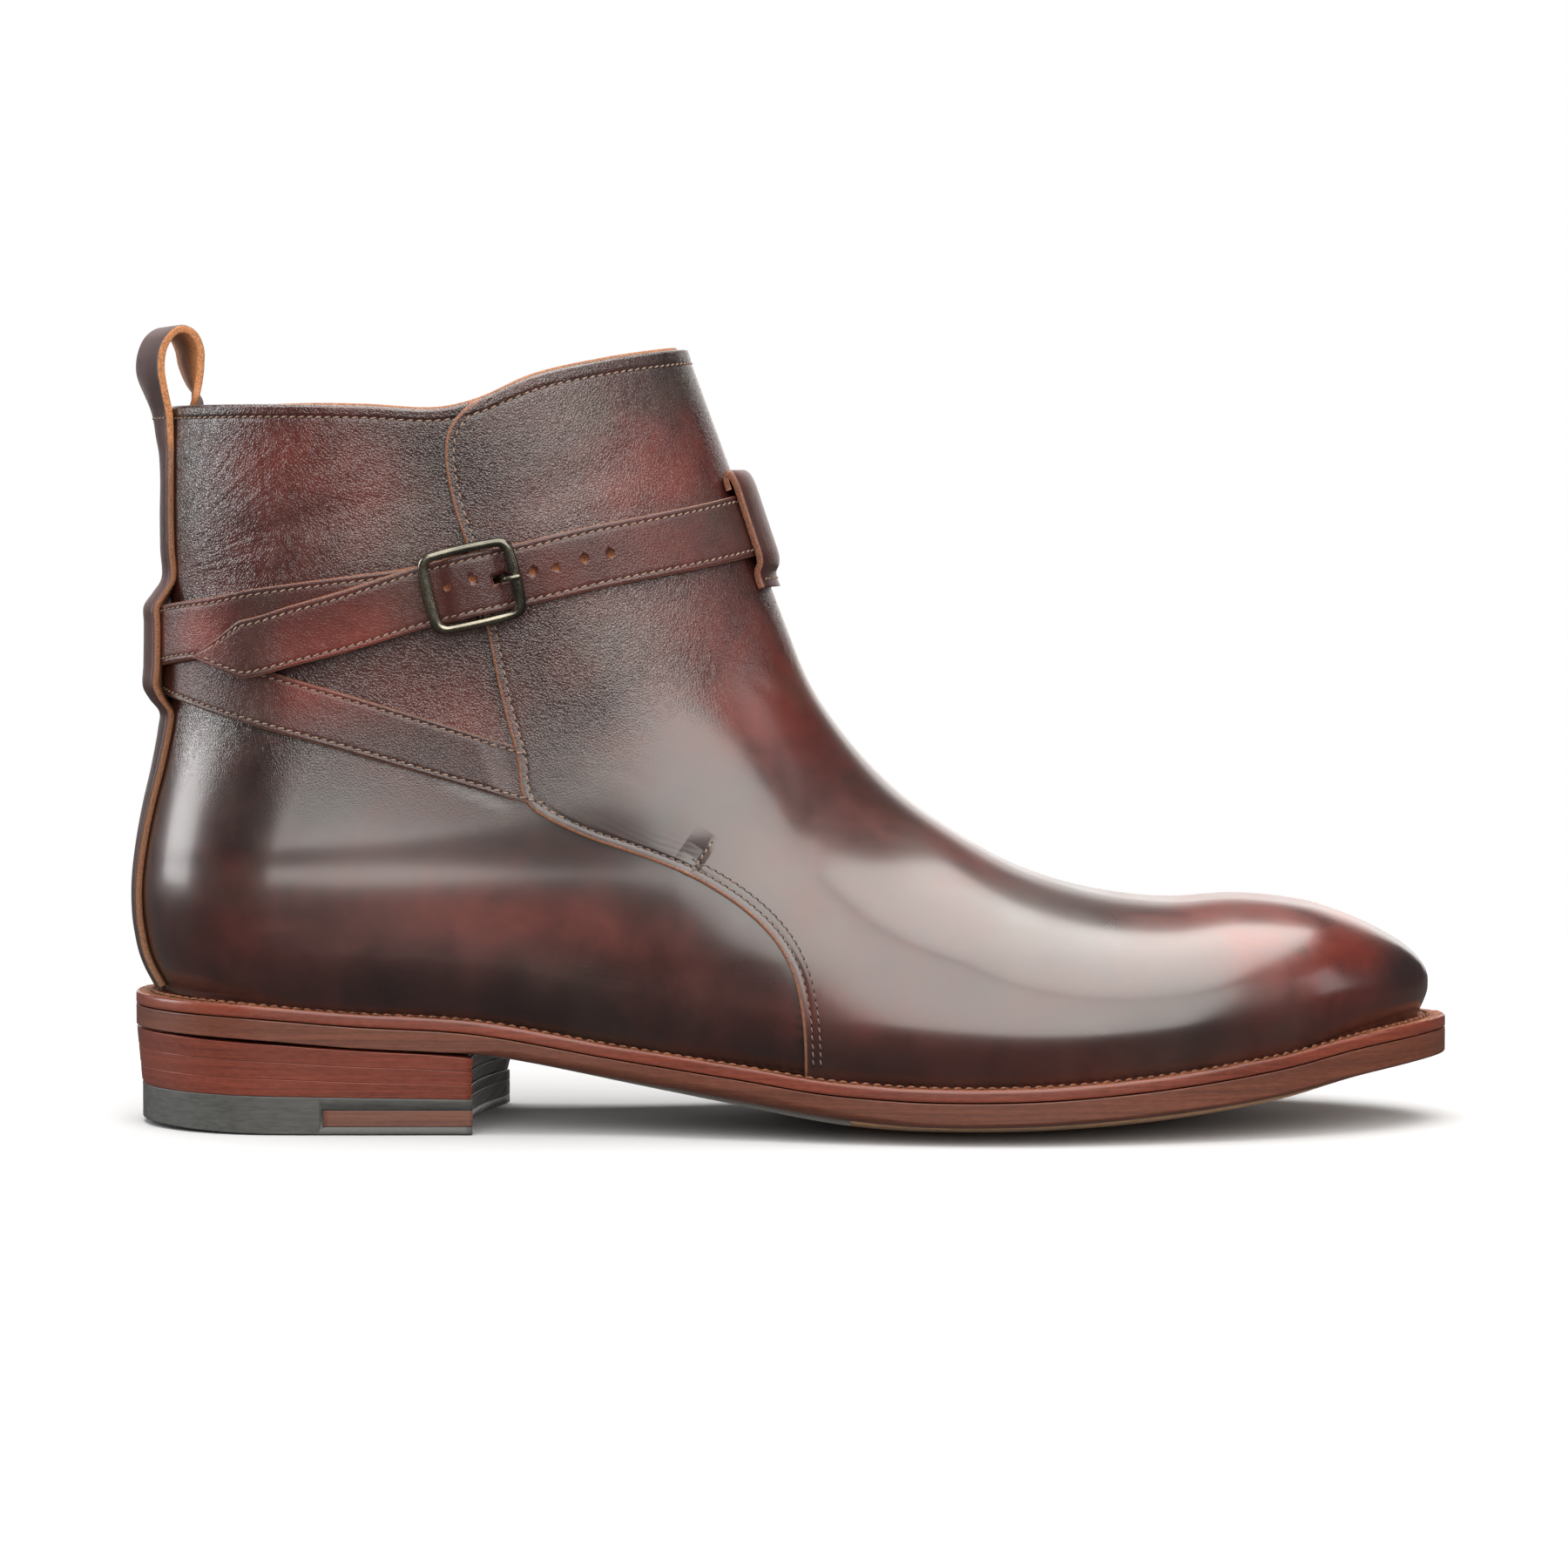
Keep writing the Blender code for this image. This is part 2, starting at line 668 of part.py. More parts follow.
def ring_layer(name, start, end, inset, hole, top, bottom, stations=40):
    """A flat strip all round the sole, hole wide inside its outer edge."""
    u = np.arange(stations + 1) / stations
    g = (1 - np.cos(math.pi * u)) / 2

    def edge_loop(extra_start, extra_end, grow):
        x = start + extra_start + (end - extra_end - start - extra_start) * g
        loop = []
        for side, order in ((-1, range(0, stations + 1)), (1, range(stations - 1, 0, -1))):
            for i in order:
                w = 0.0 if i in (0, stations) else float(
                    plan_half(x[i], side, inset(x[i]) + grow(x[i]), start + extra_start, end - extra_end))
                loop.append((x[i], float(plan_mid(x[i])) + side * w))
        return loop

    outer = edge_loop(0.0, 0.0, lambda x: 0.0)
    inner = edge_loop(hole[0], hole[1], hole[2])
    sections = []
    for (ax, ay), (bx, by) in zip(outer, inner):
        sections.append([(ax, ay, float(bottom(ax, 1))), (ax, ay, float(top(ax, 1))),
                         (bx, by, float(top(bx, 1))), (bx, by, float(bottom(bx, 1)))])
    return loft(name, sections, loop=True)


def breast(y):
    """The front face of the heel: hollow in the middle, further forward on the inner side."""
    t = y / (HEEL_SEAT_WIDTH / 2)
    return BREAST_X + BREAST_SKEW * (t + 1) / 2 - BREAST_HOLLOW * np.clip(1 - t * t, 0, 1)


def heel_piece(name, top, bottom, inset, begin=None, stop=None, count=12, ahead=0.0):
    """A slice of the heel between two heights. begin and stop cut it across its length."""
    ys = []
    x0 = inset
    x = x0 + (BREAST_X - x0) * (1 - np.cos(math.pi / 2 * np.arange(count + 1) / count))
    if begin is not None:
        x = np.linspace(begin, BREAST_X, 5)
    if stop is not None:
        x = x0 + (stop - x0) * (1 - np.cos(math.pi / 2 * np.arange(count + 1) / count))
    for side in (-1, 1):
        w = plan_half(x, side, inset, x0, SOLE_LENGTH)
        ys.append(w)
    outer = [(x[i], -ys[0][i]) for i in range(len(x))]
    inner = [(x[i], ys[1][i]) for i in range(len(x))]
    if stop is None:
        tail = ys[1][-1]
        outer[-1] = (float(breast(-ys[0][-1])), -ys[0][-1])
        inner[-1] = (float(breast(tail)), tail)
        across = np.linspace(-ys[0][-1], tail, 11)[1:-1]
        face = [(float(breast(v)), v) for v in across]
    else:
        face = []
    if begin is None:
        inner = inner[1:]
    loop = outer + face + inner[::-1]
    n = len(loop)
    pts = [(a, b, float(bottom(a))) for a, b in loop] + [(a, b, float(top(a))) for a, b in loop]
    faces = [tuple(range(n))[::-1], tuple(range(n, 2 * n))]
    faces += [(i, (i + 1) % n, n + (i + 1) % n, n + i) for i in range(n)]
    return mesh_object(name, pts, faces, True)


def material(name, colour, rough, metal=0.0):
    mat = bpy.data.materials.new(name)
    mat.use_nodes = True
    node = mat.node_tree.nodes["Principled BSDF"]
    node.inputs["Base Color"].default_value = (*colour, 1.0)
    node.inputs["Roughness"].default_value = rough
    node.inputs["Metallic"].default_value = metal
    return mat


# Sole.
def outsole_top(x, f=1.0):
    return welt_top(x) - WELT_THICKNESS - GAP


def outsole_bottom(x, f=1.0):
    hang = np.clip((f - 0.30) / 0.70, 0, 1) ** 2
    return np.maximum(outsole_top(x) - outsole_edge(x) - outsole_belly(x) * (1 - hang), 0.0)


def heel_top(x):
    """A straight seat for the heel, just under the outsole."""
    a, b = outsole_bottom(0.0), outsole_bottom(BREAST_X)
    bow = max(a + (b - a) * k / 8 - outsole_bottom(BREAST_X * k / 8) for k in range(9))
    return np.minimum(a + (b - a) * x / BREAST_X - bow, outsole_bottom(x + SOLE_LENGTH / 150) - GAP) - GAP


def floor_line(x):
    return HEEL_ROLL * np.clip(1 - x / HEEL_ROLL_LENGTH, 0, 1) ** 2


def heel_level(k):
    """Joints of the heel from the floor up: 0 is the top lift's upper face, 3 the top of the stack."""
    low = lambda x: TOP_LIFT_THICKNESS + TOP_LIFT_WEDGE * (1 - x / BREAST_X)
    return lambda x: low(x) + (heel_top(x) - low(x)) * k / 3


def build_sole():
    none = lambda x: 0.0
    out = {}
    outsole = layer("outsole", 0.0, SOLE_LENGTH, none, outsole_top, outsole_bottom, 34, 3)
    out["outsole"] = outsole
    feather = lambda x: float(shelf(x)) + WALL
    out["welt"] = ring_layer("welt", 0.0, SOLE_LENGTH, none, (back_x[0] + WALL, SOLE_LENGTH - front_x[0] + WALL, feather),
                             lambda x, f: welt_top(x), lambda x, f: welt_top(x) - WELT_THICKNESS)
    inner = lambda x: float(shelf(x)) + WALL + 2 * GAP
    out["insole"] = layer("insole", back_x[0] + WALL + 2 * GAP, front_x[0] - WALL - 2 * GAP, inner,
                          lambda x, f: welt_top(x) + INSOLE_RISE, lambda x, f: outsole_top(x) + 2 * GAP, 28, 2)
    for k in range(3):
        low, high = heel_level(k), heel_level(k + 1)
        inset = HEEL_INSET + HEEL_TAPER * (2 - k)
        out[f"heel_lift_{k + 1}"] = heel_piece(f"heel_lift_{k + 1}", lambda x, h=high: h(x) - (GAP if k < 2 else 0),
                                               low, inset)
    out["top_lift"] = heel_piece("top_lift", lambda x: heel_level(0)(x) - GAP, floor_line, TOP_LIFT_INSET)
    slot = bpy.data.objects.new("slot", bpy.data.meshes.new("slot"))
    bm = bmesh.new()
    bmesh.ops.create_cube(bm, size=1.0)
    for v in bm.verts:
        v.co.x = INSERT_X if v.co.x < 0 else BREAST_X * 1.4
        v.co.y *= BALL_WIDTH * 1.1
        v.co.z = INSERT_BOTTOM if v.co.z < 0 else INSERT_BOTTOM + INSERT_HEIGHT
    bm.to_mesh(slot.data)
    bm.free()
    combine(out["top_lift"], slot, "DIFFERENCE")
    out["top_lift_insert"] = heel_piece("top_lift_insert", lambda x: INSERT_BOTTOM + INSERT_HEIGHT - GAP,
                                        lambda x: INSERT_BOTTOM + GAP, TOP_LIFT_INSET, begin=INSERT_X + GAP)
    return out


def upper_levels():
    low = np.linspace(0.0, 0.5, 12)
    high = np.linspace(0.5, 1.0, 12)[1:]
    return np.concatenate([low, high])


def build_upper():
    p = upper_grid(HALF_RING, upper_levels())
    n = grid_normals(p)
    body = shell("upper", p, n, -WALL, 0.0)
    levels = upper_levels()
    levels[0], levels[-1] = 0.010, 0.995
    q = upper_grid(HALF_RING, levels)
    front = shell("front piece", q, grid_normals(q), -WALL * 0.3, FLAP_STEP)
    edge = [(x * SOLE_LENGTH, z * FRONT_HEIGHT) for x, z in smooth(FLAP_EDGE, 3)]
    outline = edge + [(SOLE_LENGTH * 1.1, edge[-1][1]), (SOLE_LENGTH * 1.1, edge[0][1])]
    combine(front, prism("flap outline", outline, -BALL_WIDTH, BALL_WIDTH), "INTERSECT")
    return {"upper": combine(body, front, "UNION")}


def build_straps():
    out = {"strap_long": strap("strap_long", STRAP_LONG, STRAP_STEPS)}
    out["strap_chape"] = strap("strap_chape", STRAP_CHAPE, STRAP_STEPS // 2)
    return out


def arc_turns(z, middle, reach):
    """Turns near a middle turn, with the distance along the shaft from it."""
    t = np.linspace(middle - reach, middle + reach, 161)
    p = turn_point(t, np.full_like(t, z))
    s = np.concatenate([[0], np.cumsum(np.linalg.norm(np.diff(p, axis=0), axis=1))])
    return s - s[80], t


def patch_row(y, z, middle, gap, thickness):
    """Points under and over a band that lies on the shaft, at one height."""
    t = np.interp(y, *arc_turns(z, middle, 0.4))
    zz = np.full_like(t, z)
    p = turn_point(t, zz)
    n = turn_normal(t, zz)
    return list(p + n * gap) + list((p + n * (gap + thickness))[::-1])


def build_keeper():
    y = np.linspace(-1, 1, 7) * KEEPER_WIDTH / 2
    over = STRAP_THICKNESS + GAP
    rows = [patch_row(y, z * FRONT_HEIGHT, 1.0, FLAP_STEP + GAP + over * k, STRAP_THICKNESS) for z, k in KEEPER]
    return {"front_keeper": loft("front_keeper", rows)}


def build_backstay():
    """The strip up the back, over the two straps, and its end turned over as the pull loop."""
    over = 2 * (STRAP_THICKNESS + GAP)
    y = np.linspace(-1, 1, 7) * BACKSTAY_WIDTH / 2
    rows = []
    for z, lift in BACKSTAY:
        ease = GAP * (1 - step(z, 0.222, 0.333))
        rows.append(patch_row(y, z * FRONT_HEIGHT, 0.0, GAP + ease + over * lift, BACKSTAY_THICKNESS))
    root = LOOP[0][1] * FRONT_HEIGHT
    curve = turn_point(np.interp(y, *arc_turns(root, 0.0, 0.4)), np.full_like(y, root))
    curl = curve[:, 0] - heel_x(root)
    c = smooth(LOOP, 1) * (BACKSTAY_WIDTH, FRONT_HEIGHT, 1.0, 1.0)
    d = np.gradient(c[:, :2], axis=0)
    d /= np.linalg.norm(d, axis=1)[:, None]
    for (shift, z, twist, curved), (dx, dz) in zip(c, d):
        a = LOOP_TWIST * twist
        row = []
        for half in (1, -1):
            off = half * BACKSTAY_THICKNESS / 2
            base = heel_x(z)
            fwd = shift + off * dz + curl * curved
            up = z - off * dx
            side = [(base + f * math.cos(a) + w * math.sin(a), f * math.sin(a) - w * math.cos(a), up)
                    for f, w in zip(fwd, y)]
            row += side if half > 0 else side[::-1]
        rows.append(row)
    for z in LOOP_END:
        row = patch_row(y, z * FRONT_HEIGHT, 0.0, -(WALL + 2 * GAP + BACKSTAY_THICKNESS), BACKSTAY_THICKNESS)
        k = len(row) // 2
        rows.append(row[k:][::-1] + row[:k][::-1])
    return {"backstay": loft("backstay", rows)}


def buckle_frame():
    """Centre of the buckle on the outer side, and its directions along the strap, across it and outward."""
    rows = smooth(STRAP_LONG, 12)
    turn = 2 - 1.484
    z = np.interp(-1.484, rows[::-1, 0], rows[::-1, 1]) * FRONT_HEIGHT
    c = turn_point(turn, z)
    n = turn_normal(turn, z)
    e = 0.03
    za = np.interp(-1.484 + e, rows[::-1, 0], rows[::-1, 1]) * FRONT_HEIGHT
    zb = np.interp(-1.484 - e, rows[::-1, 0], rows[::-1, 1]) * FRONT_HEIGHT
    along = turn_point(turn + e, za) - turn_point(turn - e, zb)
    along -= n * np.dot(along, n)
    along /= np.linalg.norm(along)
    across = np.cross(n, along)
    across *= np.sign(across[2])
    return c, along, across, n


def local(frame, t, b, o):
    c, along, across, n = frame
    return tuple(c + along * t + across * b + n * o)


def rounded_rectangle(length, height, corner, count=4):
    out = []
    for cx, cy, start in ((1, 1, 0), (-1, 1, 90), (-1, -1, 180), (1, -1, 270)):
        for k in range(count + 1):
            a = math.radians(start + 90 * k / count)
            out.append((cx * (length / 2 - corner) + corner * math.cos(a),
                        cy * (height / 2 - corner) + corner * math.sin(a)))
    return out


def local_prism(name, frame, outline, t0, t1):
    """An outline of across and outward distances, pushed along the strap."""
    n = len(outline)
    points = [local(frame, t0, b, o) for b, o in outline] + [local(frame, t1, b, o) for b, o in outline]
    faces = [tuple(range(n)), tuple(range(2 * n - 1, n - 1, -1))]
    faces += [(i, (i + 1) % n, n + (i + 1) % n, n + i) for i in range(n)]
    return mesh_object(name, points, faces, False)


def build_buckle(straps):
    frame = buckle_frame()
    inner = rounded_rectangle(BUCKLE_WINDOW_LENGTH, BUCKLE_WINDOW_HEIGHT, BUCKLE_INNER_CORNER)
    outer = rounded_rectangle(BUCKLE_WINDOW_LENGTH + 2 * BUCKLE_END_BAR, BUCKLE_WINDOW_HEIGHT + 2 * BUCKLE_RAIL,
                              BUCKLE_OUTER_CORNER)
    low, high, soft = BUCKLE_LIFT, BUCKLE_LIFT + BUCKLE_DEPTH, BUCKLE_DEPTH * 0.3
    sections = []
    for (a, b), (c, d) in zip(inner, outer):
        k = 0.25
        sections.append([
            local(frame, a, b, low),
            local(frame, a, b, high - soft),
            local(frame, a + (c - a) * k, b + (d - b) * k, high),
            local(frame, c - (c - a) * k, d - (d - b) * k, high),
            local(frame, c, d, high - soft),
            local(frame, c, d, low),
        ])
    ring = loft("buckle", sections, loop=True)
    post = BUCKLE_WINDOW_HEIGHT / 2 + GAP / 3
    far = post + CENTRE_BAR
    floor = STRAP_THICKNESS + 2 * GAP
    joint = low + soft
    outline = [(-far, joint), (-far, floor), (far, floor), (far, joint), (post, joint),
               (post, floor + CENTRE_BAR), (-post, floor + CENTRE_BAR), (-post, joint)]
    bar = local_prism("centre bar", frame, outline, -CENTRE_BAR / 2, CENTRE_BAR / 2)
    combine(ring, bar, "UNION")
    r = PRONG_DIAMETER / 2
    rest = high + GAP * 1.3 + r
    path = [(t * BUCKLE_WINDOW_LENGTH, o * high) for t, o in PRONG]
    path = smooth(path + [(t * BUCKLE_WINDOW_LENGTH, rest) for t in PRONG_REST], 1)
    d = np.gradient(path, axis=0)
    d /= np.linalg.norm(d, axis=1)[:, None]
    sections = []
    for (t, o), (dt, do) in zip(path, d):
        row = []
        for k in range(8):
            a = 2 * math.pi * k / 8
            row.append(local(frame, t - do * r * math.sin(a), r * math.cos(a), o + dt * r * math.sin(a)))
        sections.append(row)
    prong = loft("buckle_prong", sections)
    hole = PRONG_DIAMETER / 2 + GAP
    t0, t1 = (t * BUCKLE_WINDOW_LENGTH for t in PRONG_HOLE)
    cut = local_prism("prong hole", frame, [(-hole, 0.0), (hole, 0.0), (hole, high), (-hole, high)], t0, t1)
    combine(straps["strap_long"], cut, "DIFFERENCE")
    return {"buckle": ring, "buckle_prong": prong}


LEATHER = (0.090, 0.022, 0.016)
EDGE_TAN = (0.240, 0.090, 0.035)
COLOURS = {
    "upper": ("upper leather", LEATHER, 0.30, 0.0),
    "insole": ("insole leather", (0.420, 0.260, 0.150), 0.60, 0.0),
    "welt": ("welt leather", (0.230, 0.080, 0.035), 0.50, 0.0),
    "outsole": ("outsole leather", (0.260, 0.085, 0.035), 0.45, 0.0),
    "heel_lift_1": ("heel leather low", (0.300, 0.075, 0.030), 0.40, 0.0),
    "heel_lift_2": ("heel leather middle", (0.290, 0.072, 0.030), 0.40, 0.0),
    "heel_lift_3": ("heel leather high", (0.280, 0.070, 0.030), 0.40, 0.0),
    "top_lift": ("top lift rubber", (0.030, 0.030, 0.030), 0.60, 0.0),
    "top_lift_insert": ("insert leather", (0.250, 0.095, 0.045), 0.50, 0.0),
    "backstay": ("backstay leather", (0.120, 0.045, 0.030), 0.40, 0.0),
    "strap_long": ("long strap leather", (0.120, 0.030, 0.020), 0.35, 0.0),
    "strap_chape": ("chape leather", (0.110, 0.028, 0.020), 0.35, 0.0),
    "front_keeper": ("keeper leather", (0.130, 0.050, 0.038), 0.35, 0.0),
    "buckle": ("antique nickel", (0.420, 0.390, 0.330), 0.30, 1.0),
    "buckle_prong": ("prong nickel", (0.420, 0.390, 0.330), 0.30, 1.0),
}


def build():
    out = {}
    out.update(build_sole())
    out.update(build_upper())
    straps = build_straps()
    out.update(straps)
    out.update(build_keeper())
    out.update(build_backstay())
    out.update(build_buckle(straps))
    return out


def main():
    for ob in list(bpy.data.objects):
        bpy.data.objects.remove(ob, do_unlink=True)
    parts = bpy.data.collections.new("jodhpur boot")
    bpy.context.scene.collection.children.link(parts)
    made = build()
    low = np.full(3, 1e9)
    high = np.full(3, -1e9)
    for ob in made.values():
        c = np.array([v.co[:] for v in ob.data.vertices])
        low = np.minimum(low, c.min(axis=0))
        high = np.maximum(high, c.max(axis=0))
    shift = -(low + high) / 2
    shift[2] = -low[2]
    for name, ob in made.items():
        ob.name = ob.data.name = name
        for v in ob.data.vertices:
            v.co.x += shift[0]
            v.co.y += shift[1]
            v.co.z += shift[2]
        ob.data.materials.clear()
        label, colour, rough, metal = COLOURS[name]
        ob.data.materials.append(material(label, colour, rough, metal))
        parts.objects.link(ob)


main()
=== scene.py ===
# Looks of the jodhpur boot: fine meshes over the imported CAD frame, materials, floor, light and camera.
import math

import bmesh
import bpy
import numpy as np
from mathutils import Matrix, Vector


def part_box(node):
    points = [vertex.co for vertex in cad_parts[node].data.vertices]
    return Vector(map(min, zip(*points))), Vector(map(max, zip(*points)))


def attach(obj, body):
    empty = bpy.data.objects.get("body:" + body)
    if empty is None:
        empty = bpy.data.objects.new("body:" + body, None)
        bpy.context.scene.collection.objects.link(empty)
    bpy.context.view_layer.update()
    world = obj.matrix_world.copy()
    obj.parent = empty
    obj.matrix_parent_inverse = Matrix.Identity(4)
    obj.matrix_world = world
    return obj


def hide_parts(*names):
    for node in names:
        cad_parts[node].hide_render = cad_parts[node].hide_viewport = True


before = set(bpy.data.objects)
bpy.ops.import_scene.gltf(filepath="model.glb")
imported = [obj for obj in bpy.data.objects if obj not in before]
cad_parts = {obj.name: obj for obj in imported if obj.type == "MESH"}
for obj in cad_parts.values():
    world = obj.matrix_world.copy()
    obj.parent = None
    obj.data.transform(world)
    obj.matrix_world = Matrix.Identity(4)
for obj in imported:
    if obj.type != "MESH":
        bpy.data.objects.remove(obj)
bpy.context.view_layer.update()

# Overall sizes.
SOLE_LENGTH = 0.308
BALL_WIDTH = 0.107
HEEL_SEAT_WIDTH = 0.067
FRONT_HEIGHT = 0.180
SHAFT_WIDTH = 0.074

# Walls, layers and clearances.
WALL = 0.0022
FLAP_STEP = 0.0012
GAP = 0.0003
WELT_THICKNESS = 0.0028
INSOLE_RISE = 0.0030
STRAP_THICKNESS = 0.0018
BACKSTAY_THICKNESS = 0.0018
WELT_SHELF_FOREFOOT = 0.0055
WELT_SHELF_HEEL = 0.0036
TUCK = 0.0030
TUCK_HEIGHT = 0.014

# Rounded ends of the plan, and the heel.
HEEL_ROUND = 0.034
TOE_ROUND = 0.030
BREAST_X = 0.0810
BREAST_SKEW = 0.0055
BREAST_HOLLOW = 0.0050
TOP_LIFT_THICKNESS = 0.0081
INSERT_X = 0.0464
INSERT_BOTTOM = 0.0018
INSERT_HEIGHT = 0.0038
HEEL_ROLL = 0.0012
HEEL_ROLL_LENGTH = 0.045
TOP_LIFT_INSET = 0.0014
TOP_LIFT_WEDGE = 0.0012

# Fittings.
STRAP_WIDTH = 0.0138
BACKSTAY_WIDTH = 0.0210
KEEPER_WIDTH = 0.0230
LOOP_TWIST = math.radians(21.0)
BUCKLE_TURN = -1.484
BUCKLE_WINDOW_LENGTH = 0.0172
BUCKLE_WINDOW_HEIGHT = 0.0150
BUCKLE_END_BAR = 0.0024
BUCKLE_RAIL = 0.0019
BUCKLE_DEPTH = 0.0020
BUCKLE_INNER_CORNER = 0.0016
BUCKLE_OUTER_CORNER = 0.0030
CENTRE_BAR = 0.0017
BUCKLE_LIFT = 0.0050
PRONG_DIAMETER = 0.0014

# The plan of the sole: share of SOLE_LENGTH, then centre line, outer half-width and inner half-width as shares of
# BALL_WIDTH. The rounded ends come from HEEL_ROUND and TOE_ROUND.
PLAN = [
    (0.000, 0.000, 0.300, 0.300), (0.080, 0.000, 0.308, 0.308), (0.160, 0.000, 0.313, 0.313),
    (0.260, 0.000, 0.313, 0.308), (0.357, 0.000, 0.330, 0.290), (0.455, 0.002, 0.400, 0.318),
    (0.552, 0.008, 0.480, 0.378), (0.633, 0.014, 0.514, 0.442), (0.698, 0.020, 0.515, 0.468),
    (0.779, 0.030, 0.478, 0.440), (0.860, 0.038, 0.400, 0.372), (0.925, 0.043, 0.306, 0.294),
    (0.974, 0.046, 0.248, 0.244), (1.000, 0.047, 0.216, 0.216),
]

# Top of the welt: share of SOLE_LENGTH, height as a share of FRONT_HEIGHT.
WELT_TOP = [
    (0.000, 0.171), (0.088, 0.166), (0.172, 0.155), (0.262, 0.1455), (0.364, 0.116), (0.461, 0.093), (0.519, 0.079),
    (0.562, 0.0735), (0.604, 0.0705), (0.685, 0.0725), (0.779, 0.085), (0.864, 0.1045), (0.922, 0.1235),
    (0.979, 0.134), (1.000, 0.136),
]

# Outsole: share of SOLE_LENGTH, edge thickness, then how far the middle hangs below the edge, shares of FRONT_HEIGHT.
OUTSOLE = [
    (0.000, 0.0260, 0.000), (0.290, 0.0258, 0.000), (0.364, 0.0235, 0.013), (0.461, 0.0255, 0.021),
    (0.519, 0.0270, 0.0240), (0.562, 0.0285, 0.0262), (0.604, 0.0290, 0.0260), (0.685, 0.0290, 0.0272),
    (0.779, 0.0300, 0.0270), (0.864, 0.0320, 0.022), (0.922, 0.0330, 0.014), (1.000, 0.0330, 0.001),
]

# Side outline of the front as seen, from the feather edge at the toe, over the toe and up the instep to the collar:
# share of SOLE_LENGTH, share of FRONT_HEIGHT.
FRONT = [
    (0.9790, 0.1385), (0.9870, 0.1755), (0.9840, 0.1970), (0.9710, 0.2230), (0.9450, 0.2500), (0.9190, 0.2695),
    (0.8910, 0.2845), (0.8380, 0.2945), (0.7860, 0.2900), (0.7320, 0.3000), (0.6785, 0.3260), (0.6265, 0.3720),
    (0.5730, 0.4390), (0.5195, 0.5500), (0.4935, 0.6500), (0.4580, 0.8220), (0.4200, 1.0000),
]

# Side outline of the back as seen, with the backstay, the same shares.
BACK = [
    (0.0160, 0.1725), (0.0052, 0.2100), (0.0000, 0.2450), (-0.0032, 0.2950), (-0.0006, 0.3520), (0.0052, 0.4090),
    (0.0130, 0.4670), (0.0185, 0.5220), (0.0205, 0.6000), (0.0210, 0.6940), (0.0200, 0.7600), (0.0205, 0.8300),
    (0.0227, 0.9250),
]

# Rings of the upper: share of the way up FRONT, share of the way up BACK.
RINGS = [
    (0.000, 0.000), (0.028, 0.014), (0.067, 0.030), (0.110, 0.048), (0.170, 0.072), (0.233, 0.100), (0.294, 0.132),
    (0.358, 0.172), (0.423, 0.222), (0.492, 0.285), (0.570, 0.370), (0.669, 0.490), (0.744, 0.600), (0.869, 0.810),
    (1.000, 1.000),
]

# Collar line: share of the way from back to front, rise above the straight line as a share of FRONT_HEIGHT.
COLLAR = [
    (0.00, 0.000), (0.20, -0.015), (0.40, -0.032), (0.54, -0.046), (0.62, -0.040), (0.72, -0.018), (0.86, -0.006),
    (1.00, 0.000),
]

# Cross-section of the forefoot and instep: share of SOLE_LENGTH, share of the height that is dome, sharpness.
DOME = [
    (0.00, 0.90, 0.25), (0.50, 0.90, 0.25), (0.57, 0.88, 0.24), (0.65, 0.86, 0.18), (0.75, 0.82, 0.08),
    (0.83, 0.78, 0.02), (0.92, 0.74, 0.00), (1.00, 0.72, 0.00),
]

# Cross-section of the shaft: share of FRONT_HEIGHT, half-width as a share of SHAFT_WIDTH, length of the rounded back
# and front as shares of SHAFT_WIDTH, sharpness of the back, sharpness of the front.
SHAFT = [
    (0.10, 0.445, 0.46, 0.60, 0.00, 0.20), (0.30, 0.452, 0.47, 0.60, 0.02, 0.20),
    (0.45, 0.446, 0.52, 0.62, 0.12, 0.18), (0.60, 0.450, 0.58, 0.66, 0.24, 0.16),
    (0.75, 0.470, 0.62, 0.72, 0.20, 0.12), (1.00, 0.505, 0.66, 0.80, 0.12, 0.08),
]

# Rear edge of the front piece in side view, from above the collar down past the feather edge.
FLAP_EDGE = [
    (0.2950, 1.150), (0.2750, 0.945), (0.2590, 0.922), (0.2480, 0.900), (0.2440, 0.866), (0.2500, 0.800),
    (0.2610, 0.740), (0.2730, 0.650), (0.2850, 0.550), (0.2960, 0.480), (0.3030, 0.422), (0.3400, 0.385),
    (0.3900, 0.355), (0.4260, 0.330), (0.4620, 0.292), (0.4850, 0.255), (0.4990, 0.215), (0.5060, 0.170),
    (0.5090, 0.120), (0.5090, 0.020),
]

